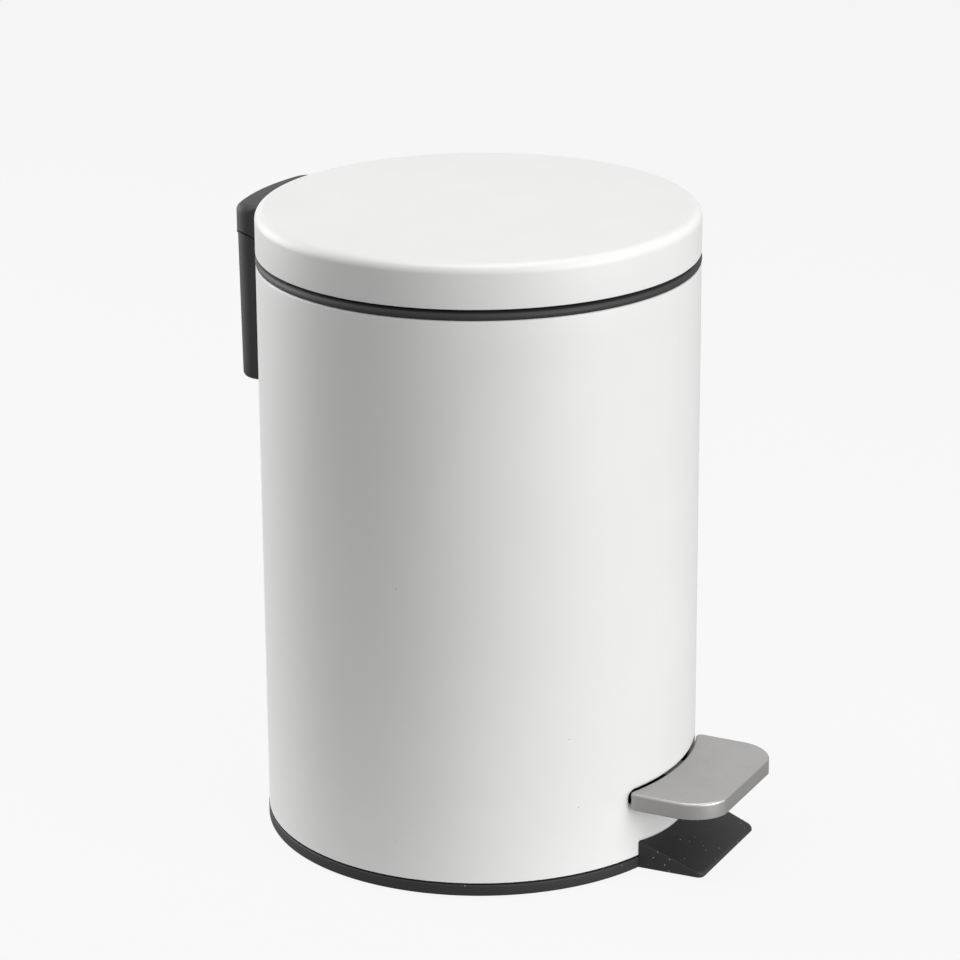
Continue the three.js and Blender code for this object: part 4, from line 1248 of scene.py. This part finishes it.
    def deck(self) -> bpy.types.Object:
        """The round deck that the bucket stands over, with room for the rod at the rear.

        Returns:
            The piece.
        """
        box, rod = Place.of("floor_deck"), Place.of("lift_rod")
        radius, low, high = box.size[0] / 2, box.low[2], box.high[2]
        profile = rounded([(0, low), (radius, low, 0.4), (radius, high, 0.6), (0, high)])
        disc = turned(profile, self.axis_y).build("floor_deck_disc")
        half, near = self.rod_room_half, rod.middle[1] - self.rod_room_front
        far = near + self.rod_room_depth
        corners = [(-half, near, 2), (half, near, 2), (half, far), (-half, far)]
        tools = [prism("room", rounded(corners), low - CUT, high + CUT)]
        for screw in DECK_SCREWS:
            x, y, _ = Place.of(screw).middle
            tools.append(round_bar("hole", (x, y, low - CUT), (x, y, high + CUT),
                                   self.screw_hole))
        return combine(disc, "DIFFERENCE", tools)

    def foot(self, node: str) -> bpy.types.Object:
        """A round rubber foot with a soft edge and a shallow dish in its sole.

        Args:
            node: The foot's node.

        Returns:
            The piece.
        """
        spot = Place.of(node)
        radius, low, high = spot.size[0] / 2, spot.low[2], spot.high[2]
        profile = rounded([(0, low + 0.4), (radius * 0.55, low + 0.4, 0.3),
                           (radius * 0.7, low, 0.3), (radius, low, 0.5), (radius, high, 0.2),
                           (0, high)])
        return pad(node, profile, 56)

    def make(self) -> None:
        """Build and dress the base's pieces."""
        look = self.finishes
        # The base takes the dusty black ABS, whose darker colour is painted shade.
        dress(self.moulding(), look, BodyName.CAN, SlotName.BLACK_PLASTIC, "base",
              look.dusty_shaded_plastic)
        dress(self.deck(), look, BodyName.CAN, SlotName.BLACK_PLASTIC, "floor_deck")
        for node in FEET:
            dress(self.foot(node), look, BodyName.CAN, SlotName.RUBBER, node)


# ---- Rear housing --------------------------------------------------------------------------------


@dataclass
class RearHousing:
    """The fixed rear cover and the cap that turns with the lid, parted on arcs round the hinge."""

    finishes: Finishes
    corner: float = 8.0
    cap_wall: float = 1.7
    cap_edge: float = 3.2
    cap_front_edge: float = 0.5
    cap_standoff: float = 0.6
    cover_wall: float = 1.4
    cover_edge: float = 2.4
    cover_edge_inset: float = 3.2
    cover_drop: float = 4.0
    cover_taper: float = 0.65
    cover_standoff: float = 0.6
    step_x: float = 24.0
    step_run: float = 0.25
    gap: float = 0.3
    split_gap: float = 0.65
    tongue_half: float = 8.0
    tongue_wrap: float = 65.0
    boss_radius: float = 3.0
    pilot: float = 1.5
    pilot_depth: float = 7.5
    socket_radius: float = 4.2
    socket_bore: float = 3.0
    socket_depth: float = 4.0
    hole: float = 1.55

    def __post_init__(self) -> None:
        """Read the housing's places from the frame."""
        shell, lid, pin = Place.of("body_shell"), Place.of("lid_shell"), Place.of("hinge_pin")
        self.axis_y = shell.middle[1]
        self.radius = shell.size[0] / 2
        self.hinge_y, self.hinge_z = pin.middle[1], pin.middle[2]
        self.lid_radius, self.lid_low = lid.size[0] / 2, lid.low[2]
        self.cap_box, self.cover_box = Place.of("hinge_cap"), Place.of("rear_cover")

    def split_radius(self, x: np.ndarray, step: float) -> np.ndarray:
        """Radius of the cover's upper edge about the hinge, larger beyond a step in x.

        It is the distance from the hinge to the lid's lower edge, at the middle or at the step,
        less a gap.

        Args:
            x: The places.
            step: Where the step is on this piece.

        Returns:
            A radius for each place.
        """
        at = np.where(np.abs(x) > step, self.step_x, 0.0)
        rim_y = self.axis_y + np.sqrt(self.lid_radius ** 2 - at ** 2)
        return np.hypot(self.hinge_y - rim_y, self.lid_low - self.hinge_z) - self.gap

    def plan(self, half: float, outer: float, inner: float) -> np.ndarray:
        """Closed outline of the housing: round the can inside, straight sides, an arc behind.

        Args:
            half: Half its width.
            outer: Radius of the arc behind, about the can's axis.
            inner: Radius of the arc round the can.

        Returns:
            The outline, counter-clockwise.
        """
        corner_x = half - self.corner
        corner_y = math.sqrt((outer - self.corner) ** 2 - corner_x ** 2)
        inner_turn = math.degrees(math.acos(half / inner))
        outer_turn = math.degrees(math.atan2(corner_y, corner_x))
        line = np.vstack([
            arc(0, 0, inner, 180 - inner_turn, inner_turn, 40),
            arc(corner_x, corner_y, self.corner, 0, outer_turn, 20),
            arc(0, 0, outer, outer_turn, 180 - outer_turn, 40)[1:-1],
            arc(-corner_x, corner_y, self.corner, 180 - outer_turn, 180, 20)])
        return line + [0, self.axis_y]

    def edge_height(self, line: np.ndarray, radius: np.ndarray) -> np.ndarray:
        """Height of an arc of that radius about the hinge above each plan point."""
        return self.hinge_z + np.sqrt(radius ** 2 - (line[..., 1] - self.hinge_y) ** 2)

    def cap(self) -> bpy.types.Object:
        """The moving cap: a top with a rounded outer edge, walls down to the split, and a tongue.

        The edge's radius grows from the front to the rear by the smooth step 3 t^2 - 2 t^3.

        Returns:
            The piece.
        """
        half = self.cap_box.size[0] / 2
        outer = self.cap_box.high[1] - self.axis_y
        step = self.step_x - self.gap
        line = self.plan(half, outer, self.radius + self.cap_standoff)
        line = with_crossings(line, [-step - self.step_run, -step, -self.tongue_half,
                                     self.tongue_half, step, step + self.step_run])
        beyond = np.hypot(line[:, 0], line[:, 1] - self.axis_y) - self.radius - self.cap_standoff
        share = np.clip(beyond / self.cap_edge, 0, 1)
        growth = (self.cap_edge - self.cap_front_edge) * share ** 2 * (3 - 2 * share)
        rows = rolled_edge(line, self.cap_front_edge + growth, 10,
                           lambda plan: self.cap_box.high[2])
        low = self.edge_height(line, self.split_radius(line[:, 0], step) + self.split_gap)
        wall_top = rows[-1][:, 2]
        rows += [raised(line, wall_top * (1 - part) + low * part) for part in (0.5, 1.0)]
        grid = np.stack(rows)
        skin = Skin().grid(grid, wrap=True).face(grid[0])
        rear = (np.abs(line[:, 0]) <= self.tongue_half + 1e-6) & (line[:, 1] > self.hinge_y)
        skin.grid(self.tongue(grid[-1][rear]))
        piece = thicken(skin.build("hinge_cap_moulding"), self.cap_wall)
        holes = [radial_hole(node, self.axis_y, self.radius - 2 * CUT, self.radius + 4 * CUT,
                             self.hole) for node in LID_SCREWS]
        return combine(piece, "DIFFERENCE", holes)

    def tongue(self, start: np.ndarray) -> np.ndarray:
        """Rows down the tongue: straight to the hinge's height, then round under its barrel.

        Args:
            start: The row at the cap's lower edge.

        Returns:
            Rows by columns by three.
        """
        radius = start[:, 1] - self.hinge_y
        rows = [raised(start[:, :2], start[:, 2] * (1 - share) + self.hinge_z * share)
                for share in np.linspace(0, 1, 6)]
        for angle in np.radians(np.linspace(0, self.tongue_wrap, 13))[1:]:
            rows.append(np.column_stack([start[:, 0], self.hinge_y + radius * math.cos(angle),
                                         self.hinge_z - radius * math.sin(angle)]))
        return np.stack(rows)

    def cover(self) -> bpy.types.Object:
        """The fixed cover: a tapering wall round the rear with a floor and a slot for the tongue.

        Rows go down from the split, in by a taper, then round a quarter ellipse into the floor, and
        along the floor to the can.

        Returns:
            The piece.
        """
        half, outer = self.cover_box.size[0] / 2, self.cover_box.high[1] - self.axis_y
        low = self.cover_box.low[2] - self.cover_drop
        inner = self.radius + self.cover_standoff
        slot_half = self.tongue_half + self.gap
        line = self.plan(half, outer, inner)
        line = with_crossings(line, [-self.step_x - self.step_run, -self.step_x, -slot_half,
                                     slot_half, self.step_x, self.step_x + self.step_run])
        out = outward(line)
        outside = np.hypot(line[:, 0], line[:, 1] - self.axis_y) > inner + 1e-3
        first = int(np.argmax(outside & ~np.roll(outside, 1))) - 1
        line, out = np.roll(line, -first, 0), np.roll(out, -first, 0)
        count = int(outside.sum()) + 2
        line, out = line[:count], out[:count]
        out[0], out[-1] = (1, 0), (-1, 0)
        top = self.edge_height(line, self.split_radius(line[:, 0], self.step_x))
        slot_low = self.hinge_z - (self.cap_box.high[1] - self.hinge_y) - self.gap
        foot = low + self.cover_edge
        heights = [top * (1 - s) + slot_low * s for s in np.linspace(0, 1, 4)]
        heights += [np.full(count, slot_low + (foot - slot_low) * s)
                    for s in np.linspace(0, 1, 6)[1:]]
        insets = [self.cover_taper * (self.lid_low - z) / (self.lid_low - low) for z in heights]
        for angle in np.linspace(0, math.pi / 2, 7)[1:]:
            heights.append(np.full(count, foot - self.cover_edge * math.sin(angle)))
            insets.append(self.cover_taper + self.cover_edge_inset * (1 - math.cos(angle)))
        rows = []
        for height, inset in zip(heights, insets):
            plan = line - np.broadcast_to(inset, count)[:, None] * out
            plan[[0, -1], 1] = self.axis_y + np.sqrt(inner ** 2 - plan[[0, -1], 0] ** 2)
            rows.append(raised(plan, height))
        edge = rows[-1][:, :2]
        bearing = np.arctan2(edge[:, 0], edge[:, 1] - self.axis_y)
        at_can = np.stack([inner * np.sin(bearing), self.axis_y + inner * np.cos(bearing)], -1)
        rows += [raised(edge * (1 - share) + at_can * share, low) for share in (0.5, 1.0)]
        grid = np.stack(rows)
        keep = np.ones((len(rows) - 1, count - 1), bool)
        middle = (line[:-1, 0] + line[1:, 0]) / 2
        keep[:3, np.abs(middle) < slot_half] = False
        piece = thicken(Skin().grid(grid, keep=keep).build("rear_cover_moulding"), self.cover_wall)
        return combine(piece, "UNION", self.cover_bosses())

    def cover_bosses(self) -> list[bpy.types.Object]:
        """Bosses for the cover's two screws and the socket that the damper stands in.

        Returns:
            The two bosses and the socket.
        """
        tools = []
        outer = self.cover_box.high[1] - self.axis_y - self.cover_taper - self.cover_wall / 2
        for node in COVER_SCREWS:
            screw = Place.of(node).middle
            way = Vector((screw[0], screw[1] - self.axis_y, 0)).normalized()
            axis = Vector((0, self.axis_y, screw[2]))
            start = axis + way * (self.radius + self.cover_standoff)
            tools.append(boss(start, axis + way * outer, self.boss_radius, start - way * CUT,
                              axis + way * (self.radius + self.pilot_depth), self.pilot))
        damper = Place.of("damper_cylinder")
        x, y, foot = *damper.middle[:2], damper.low[2]
        floor = self.cover_box.low[2] - self.cover_drop + self.cover_wall / 2
        tools.append(boss((x, y, floor), (x, y, foot + self.socket_depth), self.socket_radius,
                          (x, y, foot - self.gap), (x, y, foot + self.socket_depth + CUT),
                          self.socket_bore))
        return tools

    def make(self) -> None:
        """Build and dress the housing's two mouldings."""
        look = self.finishes
        dress(self.cover(), look, BodyName.CAN, SlotName.BLACK_PLASTIC, "rear_cover")
        dress(self.cap(), look, BodyName.LID, SlotName.BLACK_PLASTIC, "hinge_cap")


# ---- Lid -----------------------------------------------------------------------------------------


@dataclass
class Lid:
    """The pressed steel lid and the plastic liner inside it."""

    finishes: Finishes
    wall: float = 0.8
    corner: float = 4.0
    liner_skin: float = 1.3
    liner_rim: float = 2.0
    rib_rings: tuple[float, ...] = (58.0, 38.0, 16.0)
    rib_drop: float = 0.7
    rib_width: float = 1.6
    hole: float = 1.55

    def __post_init__(self) -> None:
        """Read the lid's places from the frame."""
        self.box, self.liner_box = Place.of("lid_shell"), Place.of("lid_liner")
        self.axis_y = self.box.middle[1]

    def shell(self) -> bpy.types.Object:
        """The lid: a flat top, a soft corner and a straight side with a rounded lower edge.

        Returns:
            The piece.
        """
        outer, top, low = self.box.size[0] / 2, self.box.high[2], self.box.low[2]
        inner = outer - self.wall
        profile = rounded([
            (0, top), (outer, top, self.corner), (outer, low, 0.35), (inner, low, 0.35),
            (inner, top - self.wall, self.corner - self.wall), (0, top - self.wall)], steps=14)
        piece = turned(profile, self.axis_y, LID_AROUND).build("lid_shell_pressing")
        holes = [radial_hole(node, self.axis_y, inner - 2 * CUT, outer + 2 * CUT, self.hole)
                 for node in LID_SCREWS]
        return combine(piece, "DIFFERENCE", holes)

    def liner(self) -> bpy.types.Object:
        """The liner: a disc with a raised rim and three rings of stiffening rib.

        Returns:
            The piece.
        """
        box = self.liner_box
        radius, top, low = box.size[0] / 2, box.high[2], box.low[2]
        under = top - self.liner_skin
        corners = [(0, top), (radius, top, 0.3), (radius, low, 0.5),
                   (radius - self.liner_rim, low, 0.5), (radius - 2 * self.liner_rim, under, 0.8)]
        for ring in self.rib_rings:
            far, near = ring + self.rib_width / 2, ring - self.rib_width / 2
            corners += [(far, under, 0.3), (far, under - self.rib_drop, 0.3),
                        (near, under - self.rib_drop, 0.3), (near, under, 0.3)]
        profile = rounded([*corners, (0, under)], steps=4)
        return turned(profile, self.axis_y).build("lid_liner_disc")

    def make(self) -> None:
        """Build and dress the lid's pieces."""
        look = self.finishes
        dress(self.shell(), look, BodyName.LID, SlotName.WHITE_COAT, "lid_shell")
        dress(self.liner(), look, BodyName.LID, SlotName.BLACK_PLASTIC, "lid_liner")


# ---- Pedal ---------------------------------------------------------------------------------------


@dataclass
class Pedal:
    """The pressed steel pedal plate over its plastic insert."""

    finishes: Finishes
    front_radius: float = 16.0
    front_turn: float = 73.0
    front_corner: float = 4.0
    rear_corner: float = 2.0
    edge: float = 1.1
    sheet: float = 1.0
    standoff: float = 0.4
    gap: float = 0.3
    deeper: float = 1.0
    reveal: float = 0.4
    insert_edge: float = 0.4
    insert_gap: float = 0.05
    room_reach: float = 10.0
    over_steps: int = 8
    skirt_foot: float = 0.6
    stud_radius: float = 1.6

    def __post_init__(self) -> None:
        """Read the pedal's places from the frame."""
        shell = Place.of("body_shell")
        self.box = Place.of("pedal_plate")
        self.axis_y = shell.middle[1]
        self.radius = shell.size[0] / 2

    def plan(self, inset: float) -> np.ndarray:
        """Closed outline of the pedal, drawn in by an inset: round the can behind, soft in front.

        Args:
            inset: How far it is drawn in.

        Returns:
            The outline, counter-clockwise.
        """
        half = self.box.size[0] / 2 - inset
        front = self.axis_y - self.box.low[1] - inset
        rear = self.radius + self.standoff + inset
        front_r, rear_r = self.front_radius - inset, self.rear_corner - inset
        rear_x = half - rear_r
        rear_y = -math.sqrt((rear + rear_r) ** 2 - rear_x ** 2)
        meet = math.degrees(math.atan2(-rear_y, -rear_x))
        along = math.degrees(math.atan2(rear_y, rear_x))
        turn = math.radians(self.front_turn)
        side = arc(half - front_r, front_r * math.sin(turn) - front, front_r, -self.front_turn,
                   0, 28)
        kink = rounded([(0, -front), (*side[0], self.front_corner), tuple(side[4])],
                       closed=False)[1:-1]
        right = np.vstack([kink, side[4:]])
        left = (right * [-1, 1])[::-1]
        line = np.vstack([
            right, arc(rear_x, rear_y, rear_r, 0, meet, 12),
            arc(0, 0, rear, along, -180 - along, 48)[1:-1],
            arc(-rear_x, rear_y, rear_r, 180 - meet, 180, 12), left])
        return line + [0, self.axis_y]

    def plate(self) -> bpy.types.Object:
        """The plate: a flat top over a rounded edge and a skirt that is open for the lever.

        Returns:
            The piece.
        """
        half = Place.of("pedal_lever").high[0] + self.gap
        line = with_crossings(self.plan(0.0), [-half, half])
        top, low = self.box.high[2], self.box.low[2] - self.deeper
        rows = rolled_edge(line, self.edge, self.over_steps, lambda plan: top)
        rows += [raised(line, height) for height in (low + self.skirt_foot, low)]
        grid = np.stack(rows)
        keep = np.ones((len(rows) - 1, len(line)), bool)
        middle = (line + np.roll(line, -1, 0)) / 2
        at_lever = (np.abs(middle[:, 0]) < half) & (middle[:, 1] > self.box.middle[1])
        keep[self.over_steps:, at_lever] = False
        skin = Skin().grid(grid, wrap=True, keep=keep).face(grid[0])
        piece = thicken(skin.build("pedal_plate_pressing"), self.sheet)
        studs = []
        for node in ("stud_nut_front", "stud_nut_rear"):
            x, y, _ = Place.of(node).middle
            studs.append(round_bar("stud", (x, y, low), (x, y, top - self.sheet / 2),
                                   self.stud_radius, edge=0.3))
        return combine(piece, "UNION", studs)

    def insert(self) -> bpy.types.Object:
        """The plastic insert that fills the plate from below, with a channel for the lever.

        Rows go down inside the plate, out under its skirt, and round a small edge to the sole.

        Returns:
            The piece.
        """
        box, lever = Place.of("pedal_insert"), Place.of("pedal_lever")
        inner, line = self.plan(self.sheet + self.gap), self.plan(self.gap)
        out = outward(line)
        edge = self.insert_edge
        flange = self.box.low[2] - self.deeper - self.insert_gap
        low = flange - self.reveal
        rows = [(inner, box.high[2]), (inner, flange), (line, flange)]
        for angle in np.linspace(0, math.pi / 2, 4):
            rows.append((line - edge * (1 - math.cos(angle)) * out,
                         low + edge * (1 - math.sin(angle))))
        grid = np.stack([raised(plan, z) for plan, z in rows])
        piece = Skin().grid(grid, wrap=True).face(grid[0]).face(grid[-1]).build("pedal_insert_pad")
        half = lever.high[0] + self.gap
        front, rear = lever.low[1] - self.gap, self.axis_y - self.radius + self.room_reach
        room = prism("room", rounded([(-half, front, 1), (half, front, 1), (half, rear),
                                      (-half, rear)]), low - CUT, box.high[2] + CUT)
        return combine(piece, "DIFFERENCE", [room])

    def make(self) -> None:
        """Build and dress the pedal's pieces."""
        look = self.finishes
        dress(self.plate(), look, BodyName.PEDAL, SlotName.BRUSHED_STEEL, "pedal_plate")
        dress(self.insert(), look, BodyName.PEDAL, SlotName.BLACK_PLASTIC, "pedal_insert")


# ---- Bucket, bail and rod ------------------------------------------------------------------------


@dataclass
class Bucket:
    """The loose inner bucket with its ears and its wire bail."""

    finishes: Finishes
    wall: float = 1.5
    floor: float = 1.8
    draft: float = 3.5
    top_inset: float = 12.0
    rim: float = 1.3
    corner: float = 5.0
    sole_width: float = 12.0
    sole_rise: float = 0.8
    ear_half: float = 4.0
    ear_thick: float = 1.2
    ear_root: float = 0.8
    bail_gap: float = 0.6
    wire_radius: float = 1.2
    elbow: float = 1.6

    def __post_init__(self) -> None:
        """Read the bucket's places from the frame."""
        self.box, self.bail_box = Place.of("bucket"), Place.of("bucket_bail")
        self.axis_y = Place.of("body_shell").middle[1]
        self.top = Place.of("body_shell").size[0] / 2 - self.top_inset
        self.bail_z = self.bail_box.middle[2]
        self.bail_radius = self.axis_y - self.bail_box.low[1] - self.wire_radius
        self.rim_top = self.bail_box.low[2] - self.bail_gap

    def pail(self) -> bpy.types.Object:
        """The bucket: a tapering wall under a turned-over rim, with two ears for the bail.

        Returns:
            The piece.
        """
        low = self.box.low[2]
        rim_radius = self.box.size[1] / 2
        bottom = self.top - self.draft
        under = self.rim_top - self.rim
        raised_sole = low + self.sole_rise
        profile = rounded([
            (0, raised_sole), (bottom - self.sole_width, raised_sole, 1),
            (bottom - self.sole_width + 1, low, 1),
            (bottom, low, self.corner), (self.top, under, 0.6), (rim_radius, under, 0.5),
            (rim_radius, self.rim_top, 0.5), (self.top - self.wall, self.rim_top, 0.6),
            (bottom - self.wall, low + self.floor, self.corner - self.wall),
            (0, low + self.floor)])
        pail = turned(profile, self.axis_y).build("bucket_pail")
        bore = self.wire_radius + CLEAR
        inside = self.bail_radius + bore
        ears = [lug((side * inside, side * (inside + self.ear_thick)), self.axis_y, self.bail_z,
                    self.box.high[2] - self.bail_z, self.ear_half,
                    (self.rim_top - self.rim / 2, self.rim_top + self.ear_root), bore)
                for side in (-1, 1)]
        return combine(pail, "UNION", ears)

    def bail(self) -> bpy.types.Object:
        """The bail: a half circle of wire round the front, with elbows out through the ears.

        Returns:
            The piece.
        """
        radius, elbow = self.bail_radius, self.elbow
        drop = math.degrees(math.asin(elbow / radius))
        end = self.bail_box.high[0]
        hoop = arc(0, 0, radius, -180 + drop, -drop, 96)
        right = arc(hoop[-1][0] + elbow, -elbow, elbow, 180, 90, 8)
        left = (right * [-1, 1])[::-1]
        plan = np.vstack([[[-end, 0]], left, hoop[1:-1], right, [[end, 0]]])
        path = raised(plan + [0, self.axis_y], self.bail_z)
        return wire("bucket_bail_wire", path, self.wire_radius, (0, 0, 1))

    def make(self) -> None:
        """Build and dress the bucket and the bail."""
        look = self.finishes
        dress(self.pail(), look, BodyName.BUCKET, SlotName.BUCKET_PLASTIC, "bucket")
        dress(self.bail(), look, BodyName.BAIL, SlotName.PLATED_STEEL, "bucket_bail")


@dataclass
class LiftRod:
    """The steel rod from the pedal's lever up to the lid's lever."""

    finishes: Finishes
    radius: float = 1.4
    elbow: float = 2.2

    def make(self) -> None:
        """Build and dress the rod: two short legs, two elbows and a straight run between them."""
        box = Place.of("lift_rod")
        x, end, y = box.low[0] + self.radius, box.high[0], box.middle[1]
        low, high = box.low[2] + self.radius, box.high[2] - self.radius
        line = rounded([(end, low), (x, low, self.elbow), (x, high, self.elbow), (end, high)],
                       closed=False, steps=8)
        path = np.column_stack([line[:, 0], np.full(len(line), y), line[:, 1]])
        dress(wire("lift_rod_wire", path, self.radius, (0, 1, 0)), self.finishes, BodyName.ROD,
              SlotName.PLATED_STEEL, "lift_rod")


@dataclass
class Hardware:
    """The frame's own small parts, which keep their shapes and get their finishes."""

    finishes: Finishes

    def make(self) -> None:
        """Paint every frame node that no finer piece stands for."""
        slots = {row["node"]: row["material_slot"] for row in frame["record"]["subparts"]}
        for name, node in frame["nodes"].items():
            if node.hide_render:
                continue
            node.data.materials.clear()
            node.data.materials.append(self.finishes.of[SlotName(slots[name])])
            log.info("%s: kept, %s", name, slots[name])


# ---- Studio --------------------------------------------------------------------------------------


@dataclass(frozen=True)
class Softbox:
    """A rectangular soft light that looks at the can from a bearing, a height and a distance.

    The bearing is in degrees to the right of the camera's own, seen from above.
    """

    name: str
    bearing: float
    height: float
    distance: float
    width: float
    tall: float
    power: float


@dataclass
class Studio:
    """A pale floor, soft lights and the camera."""

    camera_bearing: float = 63.2
    camera_distance: float = 1360.0
    camera_height: float = 606.2
    camera_pitch: float = 18.98
    camera_roll: float = -0.363
    lens: float = 138.504
    sensor: float = 36.0
    sight: float = 100.0
    floor_colour: str = "#F7F7F7"
    floor_half: float = 9.0
    floor_drop: float = 0.2
    floor_shown: float = 0.97
    floor_mirrored: float = 0.5
    floor_matt: str = "#3A3A3A"
    world_light: float = 0.05
    floor_light: float = 0.15
    table_light: float = 0.7
    table_radius: float = 600.0
    softboxes: tuple[Softbox, ...] = (
        Softbox("key_light", bearing=52.0, height=300.0, distance=1300.0, width=1000.0,
                tall=1300.0, power=18.8),
        Softbox("rim_light", bearing=-115.0, height=300.0, distance=1300.0, width=1000.0,
                tall=1300.0, power=17.0),
        Softbox("top_light", bearing=0.0, height=1500.0, distance=60.0, width=900.0,
                tall=900.0, power=11.5))

    def __post_init__(self) -> None:
        """Find the can's axis and middle height."""
        shell = Place.of("body_shell")
        self.axis = Vector((0, shell.middle[1], 0))
        self.middle = Vector((0, shell.middle[1], shell.middle[2]))

    def spot(self, bearing: float, distance: float, height: float) -> Vector:
        """A place at a bearing from the can's axis, the camera's own being 0.

        Args:
            bearing: Degrees to the right of the camera.
            distance: Millimetres from the axis.
            height: Millimetres above the floor.

        Returns:
            The place in metres.
        """
        turn = math.radians(self.camera_bearing - bearing)
        away = Vector((-math.sin(turn), -math.cos(turn), 0)) * distance
        return (self.axis + away + Vector((0, 0, height))) * MM

    def camera(self) -> None:
        """A long lens that looks level with the can's side and down at its lid."""
        data = bpy.data.cameras.new("camera")
        data.lens, data.sensor_width = self.lens, self.sensor
        data.clip_end = self.sight
        camera = bpy.data.objects.new("camera", data)
        camera.location = self.spot(0.0, self.camera_distance, self.camera_height)
        turn = Matrix.Rotation(-math.radians(self.camera_bearing), 4, "Z")
        pitch = Matrix.Rotation(math.radians(90 - self.camera_pitch), 4, "X")
        roll = Matrix.Rotation(math.radians(self.camera_roll), 4, "Z")
        camera.rotation_euler = (turn @ pitch @ roll).to_euler()
        bpy.context.scene.collection.objects.link(camera)
        bpy.context.scene.camera = camera

    def lights(self) -> None:
        """Soft lights aimed at the can's middle."""
        for box in self.softboxes:
            data = bpy.data.lights.new(box.name, "AREA")
            data.shape, data.size, data.size_y = "RECTANGLE", box.width * MM, box.tall * MM
            data.energy = box.power
            light = bpy.data.objects.new(box.name, data)
            light.location = self.spot(box.bearing, box.distance, box.height)
            aim = self.middle * MM - light.location
            light.rotation_euler = aim.to_track_quat("-Z", "Y").to_euler()
            light.visible_camera = False
            bpy.context.scene.collection.objects.link(light)

    def world(self) -> None:
        """A pale surround that shows and reflects as bright as the floor but lights little."""
        world = bpy.data.worlds.new("studio")
        bpy.context.scene.world = world
        world.use_nodes = True
        tree = world.node_tree
        tree.nodes.clear()
        path = add_node(tree, "ShaderNodeLightPath")
        level = add_node(tree, "ShaderNodeMapRange",
                         {"Value": path.outputs["Is Diffuse Ray"], "To Min": 1.0,
                          "To Max": self.world_light})
        shown = add_node(tree, "ShaderNodeBackground",
                         {"Color": linear(self.floor_colour), "Strength": level.outputs["Result"]})
        add_node(tree, "ShaderNodeOutputWorld", {"Surface": shown.outputs["Background"]})

    def floor(self) -> None:
        """A pale floor that takes a faint shadow and lights the can most from close by."""
        material, tree = new_material("studio_floor")
        place = add_node(tree, "ShaderNodeTexCoord").outputs["Object"]
        near = add_node(tree, "ShaderNodeMapping",
                        {"Vector": place, "Scale": (per_mm(self.table_radius),) * 3})
        table = add_node(tree, "ShaderNodeTexGradient", {"Vector": near.outputs["Vector"]},
                         gradient_type="SPHERICAL")
        light = add_node(tree, "ShaderNodeMapRange",
                         {"Value": table.outputs["Fac"], "To Min": self.floor_light,
                          "To Max": self.floor_light + self.table_light})
        path = add_node(tree, "ShaderNodeLightPath")
        mirrored = add_node(tree, "ShaderNodeMix",
                            {"Factor": path.outputs["Is Diffuse Ray"],
                             "A": self.floor_mirrored, "B": light.outputs["Result"]},
                            data_type="FLOAT")
        level = add_node(tree, "ShaderNodeMix",
                         {"Factor": path.outputs["Is Camera Ray"],
                          "A": mirrored.outputs["Result"], "B": self.floor_shown},
                         data_type="FLOAT")
        glow = add_node(tree, "ShaderNodeEmission",
                        {"Color": linear(self.floor_colour),
                         "Strength": level.outputs["Result"]})
        matt = add_node(tree, "ShaderNodeBsdfDiffuse", {"Color": linear(self.floor_matt)})
        both = add_node(tree, "ShaderNodeAddShader", {0: glow.outputs[0], 1: matt.outputs[0]})
        add_node(tree, "ShaderNodeOutputMaterial", {"Surface": both.outputs[0]})
        half = self.floor_half / MM
        square = np.array([(-half, -half), (half, -half), (-half, half), (half, half)])
        grid = raised(square, -self.floor_drop).reshape(2, 2, 3)
        floor = Skin().grid(grid).build("studio_floor")
        floor.data.materials.append(material)

    def make(self) -> None:
        """Set the stage."""
        self.camera()
        self.lights()
        self.world()
        self.floor()
        bpy.context.scene.view_settings.view_transform = "Standard"


def main() -> None:
    """Build the sub-assemblies in order and paint the rest."""
    logging.basicConfig(level=logging.INFO, format="%(name)s: %(message)s")
    finishes = Finishes()
    Studio().make()
    for assembly in (Body, Base, RearHousing, Lid, Pedal, Bucket, LiftRod, Hardware):
        assembly(finishes).make()


if __name__ == "__main__":
    main()
